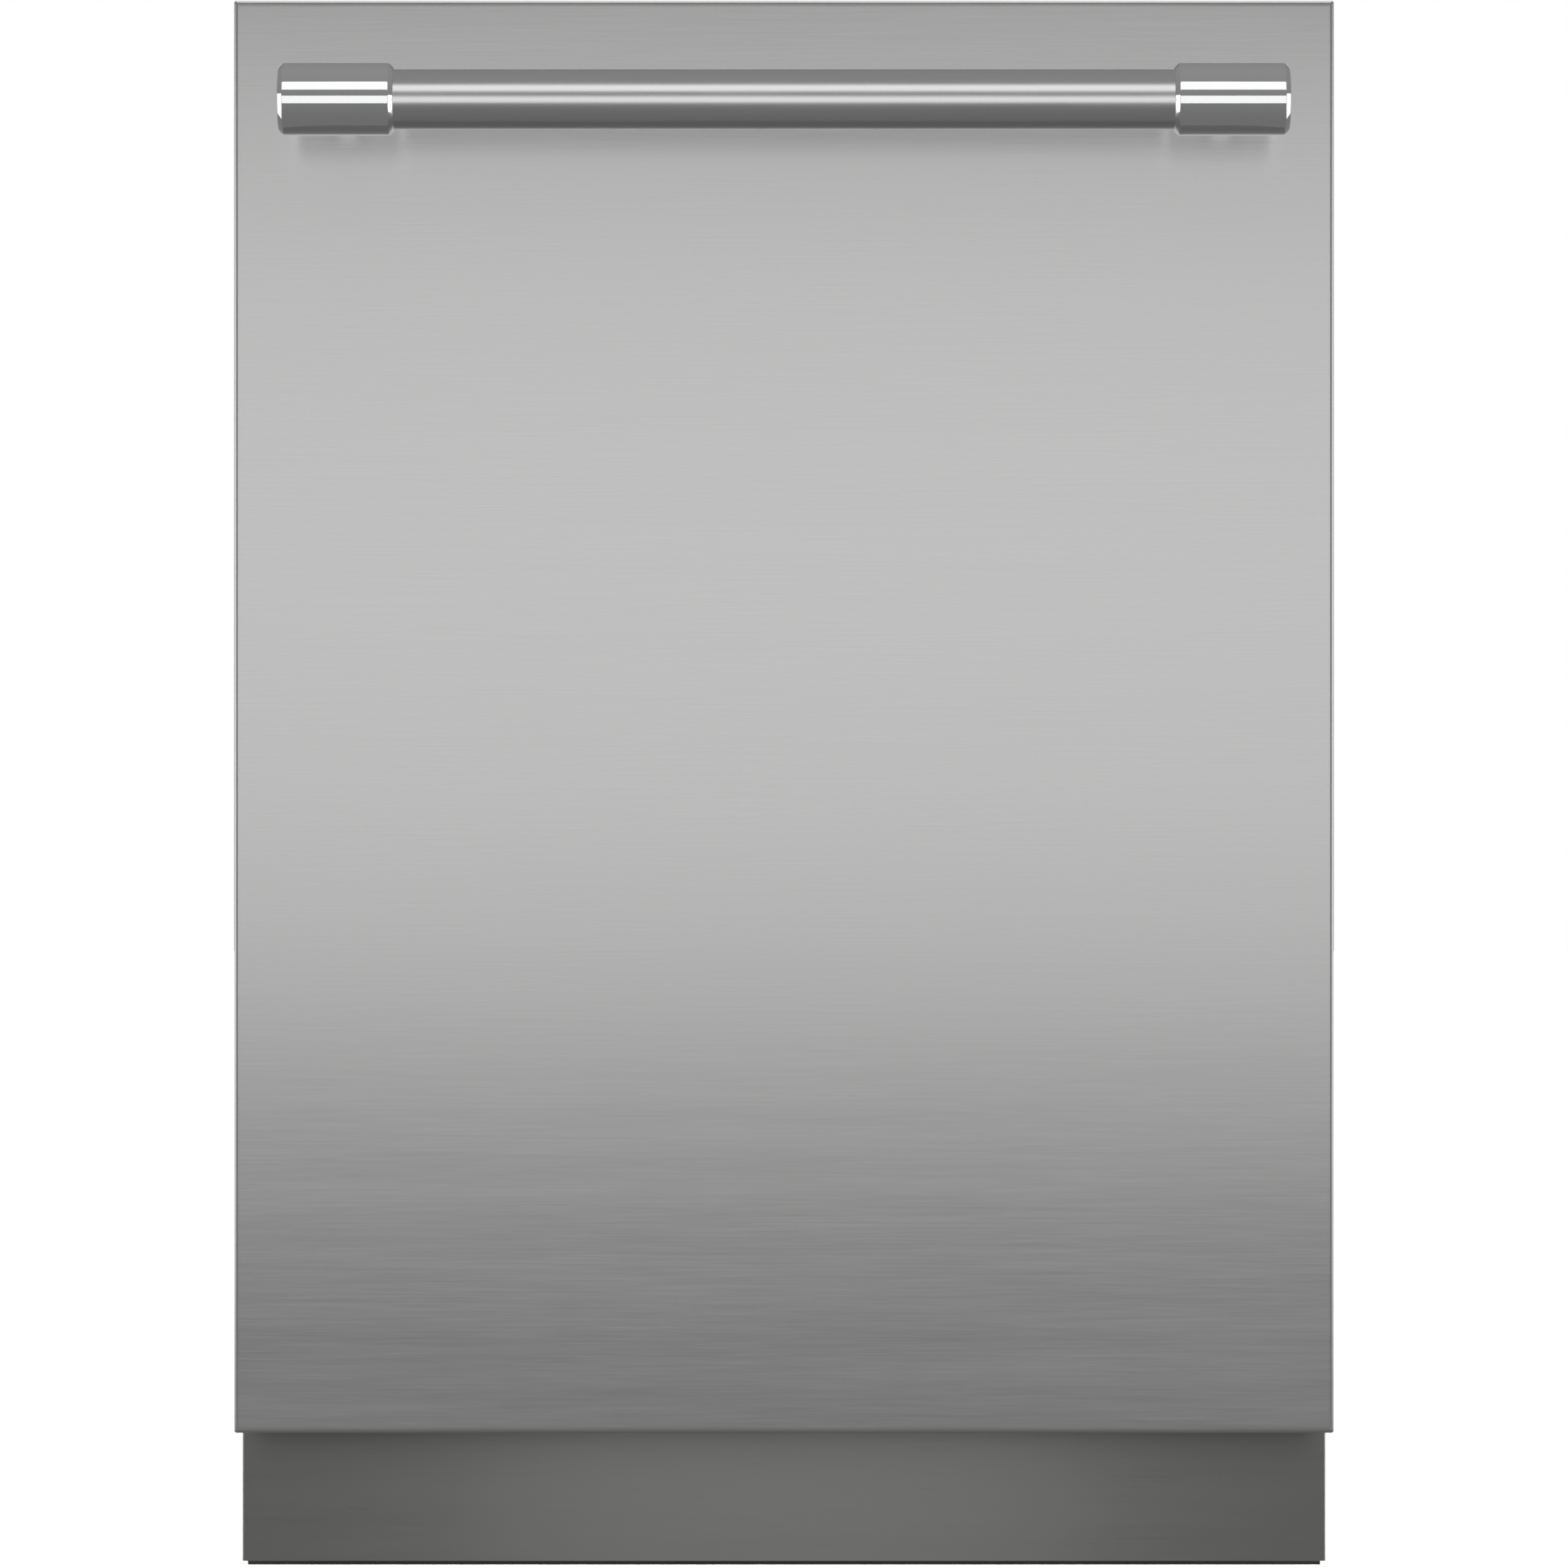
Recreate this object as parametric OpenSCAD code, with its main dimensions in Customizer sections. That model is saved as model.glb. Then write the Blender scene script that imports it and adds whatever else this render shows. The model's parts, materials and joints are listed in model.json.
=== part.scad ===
// Built-in dishwasher: a front-loading machine that fills a standard kitchen gap.
// Millimetres. +Z up, the front faces -Y, X runs to the right as seen from the front.
// Pieces are drawn with Y measured back from the door's face; from_face() then moves
// them so that the whole machine stands centred on the origin.

/* [Overall] */
// Width of the door and the body
body_w = 598; // [500:1:720]
// Height from the floor to the door's top edge
machine_h = 857; // [714:1:1030]
// Depth from the door's face to the back
machine_d = 600; // [500:1:720]
// Height of the toe space under the door
toe_h = 78; // [65:1:94]

/* [Door] */
// Thickness of the door, from its face to its inner skin
door_t = 57; // [52:1:62]
// Thickness of the outer steel sheet
panel_t = 1.2; // [0.8:0.1:2]
// Depth of the outer panel's folded edges
panel_return = 22; // [16:1:22]
// Outside radius of the outer panel's folded edges
panel_bend = 2.2; // [2.1:0.1:4]
// Thickness of the inner skin and of the tub's sheet
sheet_t = 1.2; // [0.8:0.1:2]
// Height of the control fascia on the door's top edge
fascia_h = 60; // [50:1:80]
// Distance of the hinge axis behind the door's face
hinge_back = 20; // [18:1:24]
// Height of the hinge axis above the door's bottom edge
hinge_up = 25; // [22:1:28]
// Radius of a hinge pin
hinge_pin_r = 5; // [4:0.5:6]

/* [Handle] */
// Length of the handle over both end caps
handle_l = 540; // [400:1:590]
// Diameter of the handle's bar
bar_d = 32; // [26:1:34]
// Diameter of an end cap
cap_d = 38.6; // [36:0.1:46]
// Length of an end cap
cap_l = 61.6; // [50:0.1:74]
// Distance of the bar's axis in front of the door's face
handle_out = 62; // [52:1:75]
// Distance of the bar's axis below the door's top edge
handle_drop = 60; // [44:1:64]
// Diameter of a handle post behind its cap
post_d = 24; // [20:1:28]

/* [Kick plate] */
// Distance of the kick plate behind the door's face
kick_recess = 60; // [56:1:68]
// Height of the rubber strip under the kick plate
kick_seal_h = 2; // [1:0.5:4]

/* [Tub] */
// Space between the tub and each side panel
side_gap = 20; // [18:1:26]
// Space between the tub and the back panel
back_gap = 12; // [11:1:20]
// Thickness of the door gasket
seal_t = 5; // [4:0.5:7]
// Radius of the sump opening in the tub's floor
sump_r = 105; // [100:1:112]
// Thickness of the sound insulation
jacket_t = 8; // [5:1:10]

/* [Spray arms] */
// Length of the lower spray arm
lower_arm_l = 470; // [392:1:470]
// Length of the middle spray arm
middle_arm_l = 440; // [367:1:470]
// Length of the top spray arm
top_arm_l = 250; // [208:1:300]

/* [Racks] */
// Diameter of a rack's wire
wire_d = 4; // [3.4:0.1:4.8]
// Spacing of the racks' upright wires
wire_pitch = 40; // [33:1:48]
// Height of the lower rack's walls
lower_rack_h = 120; // [100:1:144]
// Height of the upper rack's walls
upper_rack_h = 110; // [92:1:132]
// Distance of the upper rack's floor below the tub's ceiling
upper_drop = 336; // [330:1:345]
// Diameter of a lower rack wheel
wheel_d = 40; // [34:1:44]
// Height of the cutlery tray
tray_h = 40; // [34:1:46]
// Length of a plate tine
tine_l = 92; // [76:1:110]

/* [Hidden] */
$fn = 48;
// overlap that joins the solids of one piece, and the reach of a cut past a face
eps = 0.5;
// clearance of a part that turns or slides in another
run = 0.05;
// gap between pieces that pass each other
gap = 1;

// outline of the machine
half_w = body_w / 2;
handle_front = handle_out + cap_d / 2;
y_face = handle_front - (machine_d + handle_front) / 2;

// door
door_z = toe_h;
hinge_z = door_z + hinge_up;
inner_face_z = hinge_z + door_t - hinge_back;
fascia_z = machine_h - 2 - fascia_h;
handle_z = machine_h - handle_drop;
pan_half = half_w - 15;
pan_z0 = hinge_z + 4;
pan_z1 = machine_h - 7;
lip_t = 1.5;

// hinges, side by side across the door's corner
arm_t = 3;
arm_x = pan_half;
bracket_x = arm_x + arm_t + gap;
bracket_t = 3;
base_half = bracket_x;

// tub
side_t = 1;
tub_y0 = door_t + seal_t;
tub_y1 = machine_d - back_gap;
tub_half = half_w - side_t - side_gap;
tub_in = tub_half - sheet_t;
tub_back = tub_y1 - sheet_t;
ledge_z = inner_face_z;
floor_z = ledge_z - 11;
ledge_w = 26;
ceiling_z = machine_h - 21;
flange_z = machine_h - 7;
tub_mid = (tub_y0 + tub_back) / 2;
dish_z = floor_z - 12.8;
dish_r = sump_r + 95;
flat_ring = 13;

// base
base_z = 24;
base_y0 = tub_y0 + 4;
base_y1 = machine_d - 4;
base_wall = 3;
base_top = floor_z - sheet_t;
skirt_h = 36;

// screws, feet and fittings of the base
screw_hole_r = 2.1;
bracket_hole_x = half_w - 79;
bracket_hole_y = tub_y0 + 28;
bracket_hole_r = 2.5;
foot_r = 5;
foot_inset = 34;
foot_places = [for (x = [-half_w + 44, half_w - 44])
               for (y = [base_y0 + foot_inset, base_y1 - foot_inset]) [x, y]];
inlet_x = -200;
inlet_z = 62;
inlet_r = 13.2;
drain_x = 215;
drain_z = 70;
drain_r = 9.5;
// room for a hose nut or clip around each fitting
fitting_gap = 5;
kick_screw_x = half_w - 119;
kick_screw_z = toe_h - 28;
// the supply cable runs straight from the back of the base into the junction box
entry_x = 160;
entry_z = base_z + 24;
entry_r = 11;
entry_gap = 1.5;
box_half = 35;
box_wall = 2;

// water works under the tub
sump_wall = 3;
sump_z = 62;
sump_top = dish_z - sheet_t;
column_r = 11;
arm_z = floor_z + 12;
cup_at = [55, tub_mid - 15];
cup_r = 36;
pump_z = 78;
duct_top = ceiling_z - 2;
duct_h = 13;
top_spout_r = 8;
top_arm_z = duct_top - duct_h - 19.5;
middle_spout_r = 9;
// the filter plate rests on the dished floor at its rim
plate_r = sump_r + flat_ring + 34;
plate_z = dish_z + (floor_z - dish_z) * (plate_r - sump_r - flat_ring)
  / (dish_r - sump_r - flat_ring) + 0.1;

// heater ring with two ends through the floor
heater_r = 190;
heater_leg = 30;
heater_tube_r = 4;
heater_end_r = 6;
heater_y = tub_mid + sqrt(heater_r * heater_r - heater_leg * heater_leg);

// latch in the middle of the door's top edge
tongue_z = machine_h - 12;
tongue_t = 2.5;
hook_pivot = [40, tongue_z - 23];
hook_pin_r = 2;

// controls
button_l = 18;
button_w = 9;
button_y = 20;
button_places = [-235, -190, -145, 235];
window_half = 60;
window_y0 = 12;
window_y1 = 30;
window_lo = [-window_half, window_y0, machine_h - 3.5];
window_hi = [window_half, window_y1, machine_h - 2];

// dispenser in the inner skin
dispenser_w = 230;
dispenser_h = 96;
dispenser_z = hinge_z + 327;
chamber_w = 65;
chamber_x = -100;
rinse_x = 75;
rinse_r = 18;
face_lip = 1.5;

// racks
wire_r = wire_d / 2;
weld = wire_d * 0.8;
rack_y0 = tub_y0 + 13;
rack_y1 = tub_back - 24;
lower_half = tub_in - 24;
lower_z = inner_face_z + wheel_d + 5;
lower_top = lower_z + lower_rack_h;
wheel_w = 12;
wheel_x = lower_half + 4;
wheel_z = ledge_z + wheel_d / 2 + 0.5;
wheel_stud_r = 3;
front_wheel_y = rack_y0 + 86;
rear_wheel_y = rack_y1 - 70;
fold_x = 92;
fold_z = lower_z + weld + wire_d + 2;
upper_half = tub_in - 38;
upper_wall = upper_half + weld;
upper_mid_rim = 0.55;
upper_z = ceiling_z - upper_drop;
upper_top = upper_z + upper_rack_h;
rail_h = 44;
rail_z = upper_top - rail_h - 6;
rail_t = 2;
manifold_z = upper_z - 12 - wire_r;
middle_arm_z = manifold_z - 26;
shelf_w = 88;
shelf_x = upper_wall - wire_d - 4.2;
shelf_z = upper_z + upper_mid_rim * upper_rack_h - 7;
shelf_bearings = [rack_y0 + 60, rack_y1 - 60];
tray_z = ceiling_z - 46 - tray_h;
tray_half = tub_in - 14;
tray_rail_h = 10;

// ---------------------------------------------------------------- helpers
module from_face() translate([0, y_face, 0]) children();

// a block from its lowest corner to its highest corner
module span(lo, hi) translate(lo) cube(hi - lo);

// the same thing on the left and on the right
module both_sides() {
  children();
  mirror([1, 0, 0]) children();
}

module rod_x(x, y, z, l, r) translate([x, y, z]) rotate([0, 90, 0]) cylinder(r = r, h = l);
module rod_y(x, y, z, l, r) translate([x, y, z]) rotate([-90, 0, 0]) cylinder(r = r, h = l);
module rod_z(x, y, z, l, r) translate([x, y, z]) cylinder(r = r, h = l);

// rack wires are eight-sided, turned so that a flat side lies down
module wire_x(y, z, x0, x1, r = wire_r)
  translate([x0, y, z]) rotate([0, 90, 0]) rotate(22.5) cylinder(r = r, h = x1 - x0, $fn = 8);
module wire_y(x, z, y0, y1, r = wire_r)
  translate([x, y0, z]) rotate([-90, 0, 0]) rotate(22.5) cylinder(r = r, h = y1 - y0, $fn = 8);
module wire_z(x, y, z0, z1, r = wire_r)
  translate([x, y, z0]) rotate(22.5) cylinder(r = r, h = z1 - z0, $fn = 8);

// evenly spaced places from a to b, about pitch apart
function places(a, b, pitch) = let (n = max(2, round((b - a) / pitch)))
  [for (i = [0 : n]) a + (b - a) * i / n];

// a slab with its two front edges rounded, as a folded sheet has
module folded_slab(half, depth, z0, z1, r) {
  span([-half + r, 0, z0], [half - r, depth, z1]);
  span([-half, r, z0], [half, depth, z1]);
  both_sides() rod_z(half - r, r, z0, z1 - z0, r);
}

// ---------------------------------------------------------------- door
module door_panel() color("#a9abab") from_face() {
  inner_lip = 10;
  top_return = 6;
  bottom_return = 12;
  difference() {
    folded_slab(half_w, panel_return, door_z, machine_h, panel_bend);
    translate([0, panel_t, 0])
      folded_slab(half_w - panel_t, panel_return, door_z + panel_t, machine_h - panel_t,
                  panel_bend - panel_t);
    span([-half_w + panel_t, top_return, machine_h - 2 * panel_t],
         [half_w - panel_t, panel_return + eps, machine_h + eps]);
    span([-half_w + panel_t, bottom_return, door_z - eps],
         [half_w - panel_t, panel_return + eps, door_z + 2 * panel_t]);
  }
  both_sides()
    span([half_w - panel_t - inner_lip, panel_return - panel_t, hinge_z + 27],
         [half_w - panel_t + eps, panel_return, fascia_z - 5]);
}

module inner_door() color("#c9cacb") from_face() {
  field_x = tub_in - 26;
  field_z0 = hinge_z + 34;
  field_z1 = fascia_z - 30;
  emboss = 3;
  wall_y0 = panel_return + lip_t;
  y1 = door_t;
  y0 = y1 - sheet_t;
  difference() {
    union() {
      span([-pan_half, y0, pan_z0], [pan_half, y1, pan_z1]);
      span([-field_x, y0 - emboss, field_z0], [field_x, y1, field_z1]);
      both_sides() {
        span([pan_half - sheet_t, wall_y0 - lip_t, hinge_z + 27],
             [pan_half, y1, fascia_z - 5]);
        span([pan_half - sheet_t, panel_return, hinge_z + 27],
             [half_w - panel_t - gap, panel_return + lip_t, fascia_z - 5]);
      }
      span([-pan_half, y1 - 18, pan_z0], [pan_half, y1, pan_z0 + sheet_t]);
    }
    span([-field_x + sheet_t, y1 - emboss, field_z0 + sheet_t],
         [field_x - sheet_t, y1 + eps, field_z1 - sheet_t]);
    span([-dispenser_w / 2 - gap, 0, dispenser_z - dispenser_h / 2 - gap],
         [dispenser_w / 2 + gap, y1 + eps, dispenser_z + dispenser_h / 2 + gap]);
    span([-14, 0, tongue_z - 3], [14, y1 + eps, pan_z1 + eps]);
    // slots for the screws that hold the outer panel
    both_sides() for (z = places(hinge_z + 60, fascia_z - 30, 200))
      rod_y(half_w - panel_t - 6, panel_return - eps, z, lip_t + 2 * eps, screw_hole_r);
  }
}

module door_insulation() color("#3a3a3a") from_face() {
  difference() {
    span([-pan_half + 4, panel_return + 3, pan_z0 + 12],
         [pan_half - 4, door_t - sheet_t - 4, fascia_z - 8]);
    span([-dispenser_w / 2 - 4, 0, dispenser_z - dispenser_h / 2 - 4],
         [dispenser_w / 2 + 4, door_t, dispenser_z + dispenser_h / 2 + 4]);
  }
}

// the seal ends beside the tracks on which the lower rack's wheels roll out
module bottom_seal() color("#2b2b2b") from_face() {
  half = wheel_x - 3;
  difference() {
    span([-half, door_t, pan_z0 + 4], [half, tub_y0 - 0.4, floor_z - 4]);
    span([-half + 2, door_t + 2, pan_z0 + 8], [half - 2, tub_y0, floor_z - 8]);
  }
}

module control_fascia() color("#1f2022") from_face() {
  y0 = panel_t + 0.2;
  y1 = door_t - sheet_t - 0.2;
  top = machine_h - 2;
  skin = 3;
  half = half_w - panel_t - gap;
  difference() {
    span([-half, y0, fascia_z], [half, y1, top]);
    span([-half + skin, y0 - eps, fascia_z - eps], [half - skin, y1 - skin, top - skin]);
    // room for the outer panel's folded top and side edges
    span([-half_w, -eps, machine_h - panel_t - 1], [half_w, 7, machine_h]);
    for (x = button_places)
      span([x - button_l / 2 - 0.4, button_y - button_w / 2 - 0.4, top - skin - eps],
           [x + button_l / 2 + 0.4, button_y + button_w / 2 + 0.4, top + eps]);
    span(window_lo - [0.2, 0.2, 0], window_hi + [0.2, 0.2, eps]);
    span([-window_half + 2, window_y0 + 2, top - skin - eps],
         [window_half - 2, window_y1 - 2, top + eps]);
    span([-14, y1 - skin - eps, tongue_z - 3], [14, y1 + eps, tongue_z + 6]);
    span([-3.2, y1 - skin - eps, tongue_z - 30], [3.2, y1 + eps, tongue_z]);
  }
}

module display_window() color("#0c0d10") from_face() {
  span(window_lo, window_hi);
  span([-window_half + 2.2, window_y0 + 2.2, machine_h - 5],
       [window_half - 2.2, window_y1 - 2.2, machine_h - 3]);
}

module button(i) color("#8d9092") from_face() {
  x = button_places[i];
  top = machine_h - 1;
  span([x - button_l / 2, button_y - button_w / 2, top - 6],
       [x + button_l / 2, button_y + button_w / 2, top]);
  // collar under the fascia that keeps the button in
  span([x - button_l / 2 - 2, button_y - button_w / 2 - 2, top - 6.2],
       [x + button_l / 2 + 2, button_y + button_w / 2 + 2, top - 4.4]);
}
module button_power() button(0);
module button_program() button(1);
module button_options() button(2);
module button_start() button(3);

module control_board() color("#1d5c38") from_face() {
  z = machine_h - 14;
  span([-255, 9, z], [255, 28, z + 1.6]);
  for (x = button_places) span([x - 3, button_y - 3, z], [x + 3, button_y + 3, z + 4.6]);
  span([-window_half + 8, window_y0 + 3, z], [window_half - 8, window_y1 - 3, z + 5]);
}

module latch_body() color("#26282a") from_face() {
  z0 = tongue_z - 34;
  difference() {
    span([-24, 30, z0], [24, door_t - sheet_t - 3.4, tongue_z + 6.4]);
    span([-13.2, 38, tongue_z - 2.6], [13.2, door_t, tongue_z + 5]);
    span([-3.4, 32, tongue_z - 31], [3.4, door_t, tongue_z]);
  }
  rod_x(-10, hook_pivot.x, hook_pivot.y, 20, hook_pin_r);
}

module latch_hook() color("#c4c6c8") from_face()
  difference() {
    union() {
      rod_x(-2.4, hook_pivot.x, hook_pivot.y, 4.8, 5);
      span([-2.4, hook_pivot.x, hook_pivot.y - 4], [2.4, hook_pivot.x + 14, hook_pivot.y + 3]);
      span([-2.4, hook_pivot.x + 9.5, hook_pivot.y], [2.4, hook_pivot.x + 14, tongue_z - 1.2]);
    }
    rod_x(-3, hook_pivot.x, hook_pivot.y, 6, hook_pin_r + run);
  }

module latch_strike() color("#b9bbbd") from_face()
  difference() {
    union() {
      span([-12, 42, tongue_z], [12, tub_y0 + sheet_t + 2, tongue_z + tongue_t]);
      span([-26, tub_y0 + sheet_t, ceiling_z + sheet_t],
           [26, tub_y0 + sheet_t + 2, flange_z]);
    }
    span([-4.5, 44, tongue_z - eps], [4.5, 57, tongue_z + tongue_t + eps]);
  }

module handle_bar() color("#c6c8c9") from_face() {
  inset = 8;
  rod_x(-handle_l / 2 + inset, -handle_out, handle_z, handle_l - 2 * inset, bar_d / 2);
}

// an end cap is a sleeve over the bar's end, on a post that screws to the door
module handle_cap() {
  edge = 2.6;
  wall_l = 8;
  x0 = handle_l / 2 - cap_l;
  difference() {
    union() {
      translate([x0, -handle_out, handle_z]) rotate([0, 90, 0]) {
        cylinder(r1 = cap_d / 2 - edge, r2 = cap_d / 2, h = edge);
        translate([0, 0, edge]) cylinder(d = cap_d, h = cap_l - 2 * edge);
        translate([0, 0, cap_l - edge])
          cylinder(r1 = cap_d / 2, r2 = cap_d / 2 - edge, h = edge);
      }
      rod_y(x0 + cap_l / 2, -handle_out, handle_z, handle_out, post_d / 2);
    }
    rod_x(x0 - eps, -handle_out, handle_z, cap_l - wall_l + eps, bar_d / 2);
    rod_y(x0 + cap_l / 2, -14, handle_z, 14 + eps, 2.5);
  }
}
module handle_cap_right() color("#d4d6d8") from_face() handle_cap();
module handle_cap_left() color("#d4d6d8") from_face() mirror([1, 0, 0]) handle_cap();

module hinge_arms() color("#8f9396") from_face() both_sides()
  difference() {
    union() {
      rod_x(arm_x, hinge_back, hinge_z, arm_t, 12);
      translate([arm_x, 0, 0]) rotate([90, 0, 90]) linear_extrude(arm_t)
        polygon([[hinge_back - 6, hinge_z + 6], [panel_return + 3, hinge_z + 26],
                 [panel_return + 3, hinge_z + 200], [door_t - 5, hinge_z + 200],
                 [door_t - 5, hinge_z + 12], [hinge_back + 9, hinge_z - 4]]);
    }
    rod_x(arm_x - eps, hinge_back, hinge_z, arm_t + 2 * eps, hinge_pin_r + run);
    for (z = [60, 150])
      rod_x(arm_x - eps, panel_return + 15, hinge_z + z, arm_t + 2 * eps, screw_hole_r);
  }

module hinge_brackets() color("#8f9396") from_face() both_sides()
  difference() {
    union() {
      rod_x(bracket_x, hinge_back, hinge_z, bracket_t, 10);
      translate([bracket_x, 0, 0]) rotate([90, 0, 90]) linear_extrude(bracket_t)
        polygon([[hinge_back, hinge_z + 9], [hinge_back, hinge_z - 4],
                 [base_y0 - 14, hinge_z - 3], [base_y0 + 4, hinge_z - 18],
                 [base_y0 + 90, hinge_z - 18], [base_y0 + 90, hinge_z + 14],
                 [base_y0 - 8, hinge_z + 14]]);
    }
    rod_x(bracket_x - eps, hinge_back, hinge_z, bracket_t + 2 * eps, hinge_pin_r);
  }

module hinge_pins() color("#6f7376") from_face() both_sides() {
  rod_x(arm_x - 2, hinge_back, hinge_z, arm_t + gap + bracket_t + 2, hinge_pin_r);
  rod_x(bracket_x + bracket_t, hinge_back, hinge_z, 2.5, hinge_pin_r + 3);
}

module door_screws() color("#777b7e") from_face() {
  both_sides() for (z = places(hinge_z + 60, fascia_z - 30, 200)) {
    rod_y(half_w - panel_t - 6, panel_return, z, lip_t + 3, 2);
    rod_y(half_w - panel_t - 6, panel_return + lip_t, z, 2.4, 3.6);
  }
  // screws that draw the handle's posts to the door from behind the panel
  both_sides() rod_y(handle_l / 2 - cap_l / 2, panel_t, handle_z, 2.5, 5);
}

module dispenser_body() color("#d8dadb") from_face() {
  x0 = -dispenser_w / 2;
  z0 = dispenser_z - dispenser_h / 2;
  back = 24;
  difference() {
    union() {
      span([x0, door_t - 30, z0], [-x0, door_t, z0 + dispenser_h]);
      span([x0 - 4, door_t - 3, z0 - 4], [-x0 + 4, door_t + face_lip, z0 + dispenser_h + 4]);
    }
    span([chamber_x, door_t - back, dispenser_z - 30],
         [chamber_x + chamber_w, door_t + face_lip + eps, dispenser_z + 30]);
    rod_y(rinse_x, door_t - back, dispenser_z, back + face_lip + eps, rinse_r - 4);
    rod_y(rinse_x, door_t - 4, dispenser_z, 4 + face_lip + eps, rinse_r + 0.1);
    span([-20, door_t - 2, dispenser_z - 20], [35, door_t + face_lip + eps, dispenser_z + 20]);
  }
}

module dispenser_lid() color("#a8abad") from_face()
  difference() {
    union() {
      span([chamber_x - 4, door_t + face_lip + 0.2, dispenser_z - 34],
           [chamber_x + chamber_w + 4, door_t + face_lip + 3.2, dispenser_z + 34]);
      span([chamber_x + chamber_w - 8, door_t + face_lip + 2, dispenser_z - 22],
           [chamber_x + chamber_w - 3, door_t + face_lip + 6, dispenser_z + 22]);
    }
    span([chamber_x + 4, door_t + face_lip + 2.2, dispenser_z - 26],
         [chamber_x + chamber_w - 12, door_t + face_lip + 4, dispenser_z + 26]);
  }

module rinse_aid_cap() color("#b4b7b9") from_face() {
  rod_y(rinse_x, door_t - 3.8, dispenser_z, 3.8 + face_lip + 0.6, rinse_r);
  span([rinse_x - rinse_r + 3, door_t, dispenser_z - 2.5],
       [rinse_x + rinse_r - 3, door_t + face_lip + 4, dispenser_z + 2.5]);
}

// ---------------------------------------------------------------- cabinet
// the tub's sides and ceiling, bent from one sheet
module tub() color("#bfc1c2") from_face()
  difference() {
    span([-tub_half, tub_y0 + sheet_t, ledge_z], [tub_half, tub_y1, ceiling_z + sheet_t]);
    span([-tub_in, tub_y0, ledge_z - eps], [tub_in, tub_y1 + eps, ceiling_z]);
  }

module tub_back() color("#bfc1c2") from_face()
  span([-tub_in, tub_back, ledge_z], [tub_in, tub_y1, ceiling_z]);

// the pressed floor, with a ledge for the wheels on each side and a dish over the sump
module tub_floor() color("#bfc1c2") from_face()
  difference() {
    union() {
      difference() {
        span([-tub_half, tub_y0 + sheet_t, base_top], [tub_half, tub_y1, ledge_z]);
        // the wheel ledges are hollow underneath
        both_sides()
          span([tub_in - ledge_w + sheet_t, tub_y0 + 12, base_top - eps],
               [tub_in, tub_back, ledge_z - sheet_t]);
      }
      translate([0, tub_mid, dish_z - sheet_t])
        cylinder(r1 = sump_r + flat_ring, r2 = dish_r, h = base_top - dish_z + sheet_t + eps);
    }
    span([-tub_in + ledge_w, tub_y0, floor_z], [tub_in - ledge_w, tub_back, ledge_z + eps]);
    translate([0, tub_mid, dish_z])
      cylinder(r1 = sump_r + flat_ring, r2 = dish_r, h = floor_z - dish_z + 0.01);
    rod_z(0, tub_mid, dish_z - 5, 10, sump_r);
    for (x = [-heater_leg, heater_leg])
      rod_z(x, heater_y, base_top - 20, 40, heater_end_r + 0.2);
  }

// front flange around the mouth
module tub_flange() color("#bfc1c2") from_face()
  difference() {
    union() {
      span([-half_w + 1.5, tub_y0, floor_z - sheet_t], [half_w - 1.5, tub_y0 + sheet_t, flange_z]);
      span([-pan_half, tub_y0, pan_z0], [pan_half, tub_y0 + sheet_t, floor_z]);
    }
    span([-tub_in + ledge_w, tub_y0 - eps, floor_z],
         [tub_in - ledge_w, tub_y0 + sheet_t + eps, ceiling_z]);
    span([-tub_in, tub_y0 - eps, ledge_z], [tub_in, tub_y0 + sheet_t + eps, ceiling_z]);
    span([-13, tub_y0 - eps, tongue_z - 0.5], [13, tub_y0 + 3, tongue_z + tongue_t + 0.5]);
    both_sides() for (z = [ceiling_z - 200, floor_z + 120])
      rod_y(half_w - 6, tub_y0 - eps, z, sheet_t + 2 * eps, screw_hole_r);
  }

module tub_gasket() color("#232425") from_face() {
  lip = 6;
  edge = 1;
  y0 = door_t + 0.2;
  difference() {
    span([-tub_in - edge - lip, y0, floor_z], [tub_in + edge + lip, tub_y0, ceiling_z + edge + lip]);
    span([-tub_in - edge, y0 - eps, floor_z - eps], [tub_in + edge, tub_y0 + eps, ceiling_z + edge]);
    // hollow bead behind the lip
    span([-tub_in - edge - lip + 1.5, y0 + 1.5, floor_z - eps],
         [-tub_in - edge - 1.5, tub_y0 - 1, ceiling_z]);
    span([tub_in + edge + 1.5, y0 + 1.5, floor_z - eps],
         [tub_in + edge + lip - 1.5, tub_y0 - 1, ceiling_z]);
  }
}

module side_panels() color("#b3b5b6") from_face() both_sides() {
  y0 = tub_y0 + sheet_t + 0.4;
  y1 = machine_d - side_t;
  span([half_w - side_t, y0, base_z + 6], [half_w, y1, flange_z - 4]);
  span([half_w - 12, y0, flange_z - 5], [half_w, y1, flange_z - 4]);
  span([half_w - 12, y1 - side_t, base_top], [half_w, y1, flange_z - 4]);
}

module back_panel() color("#9fa2a3") from_face()
  difference() {
    span([-half_w + 1, machine_d - side_t, base_top], [half_w - 1, machine_d, flange_z - 6]);
    for (x = [-160 : 40 : 160]) for (z = [0 : 2])
      span([x - 12, machine_d - 3, base_top + 40 + z * 14],
           [x + 12, machine_d + eps, base_top + 45 + z * 14]);
    both_sides() for (z = [base_top + 60, flange_z - 60])
      rod_y(half_w - 6, machine_d - side_t - eps, z, side_t + 2 * eps, screw_hole_r);
  }

module insulation_jacket() color("#44464a") from_face() {
  half = tub_half + gap;
  difference() {
    span([-half - jacket_t, tub_y0 + 12, floor_z + 30],
         [half + jacket_t, tub_y1 + gap + jacket_t, ceiling_z + sheet_t + 1 + jacket_t]);
    span([-half, tub_y0, floor_z], [half, tub_y1 + gap, ceiling_z + sheet_t + 1]);
  }
}

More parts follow.
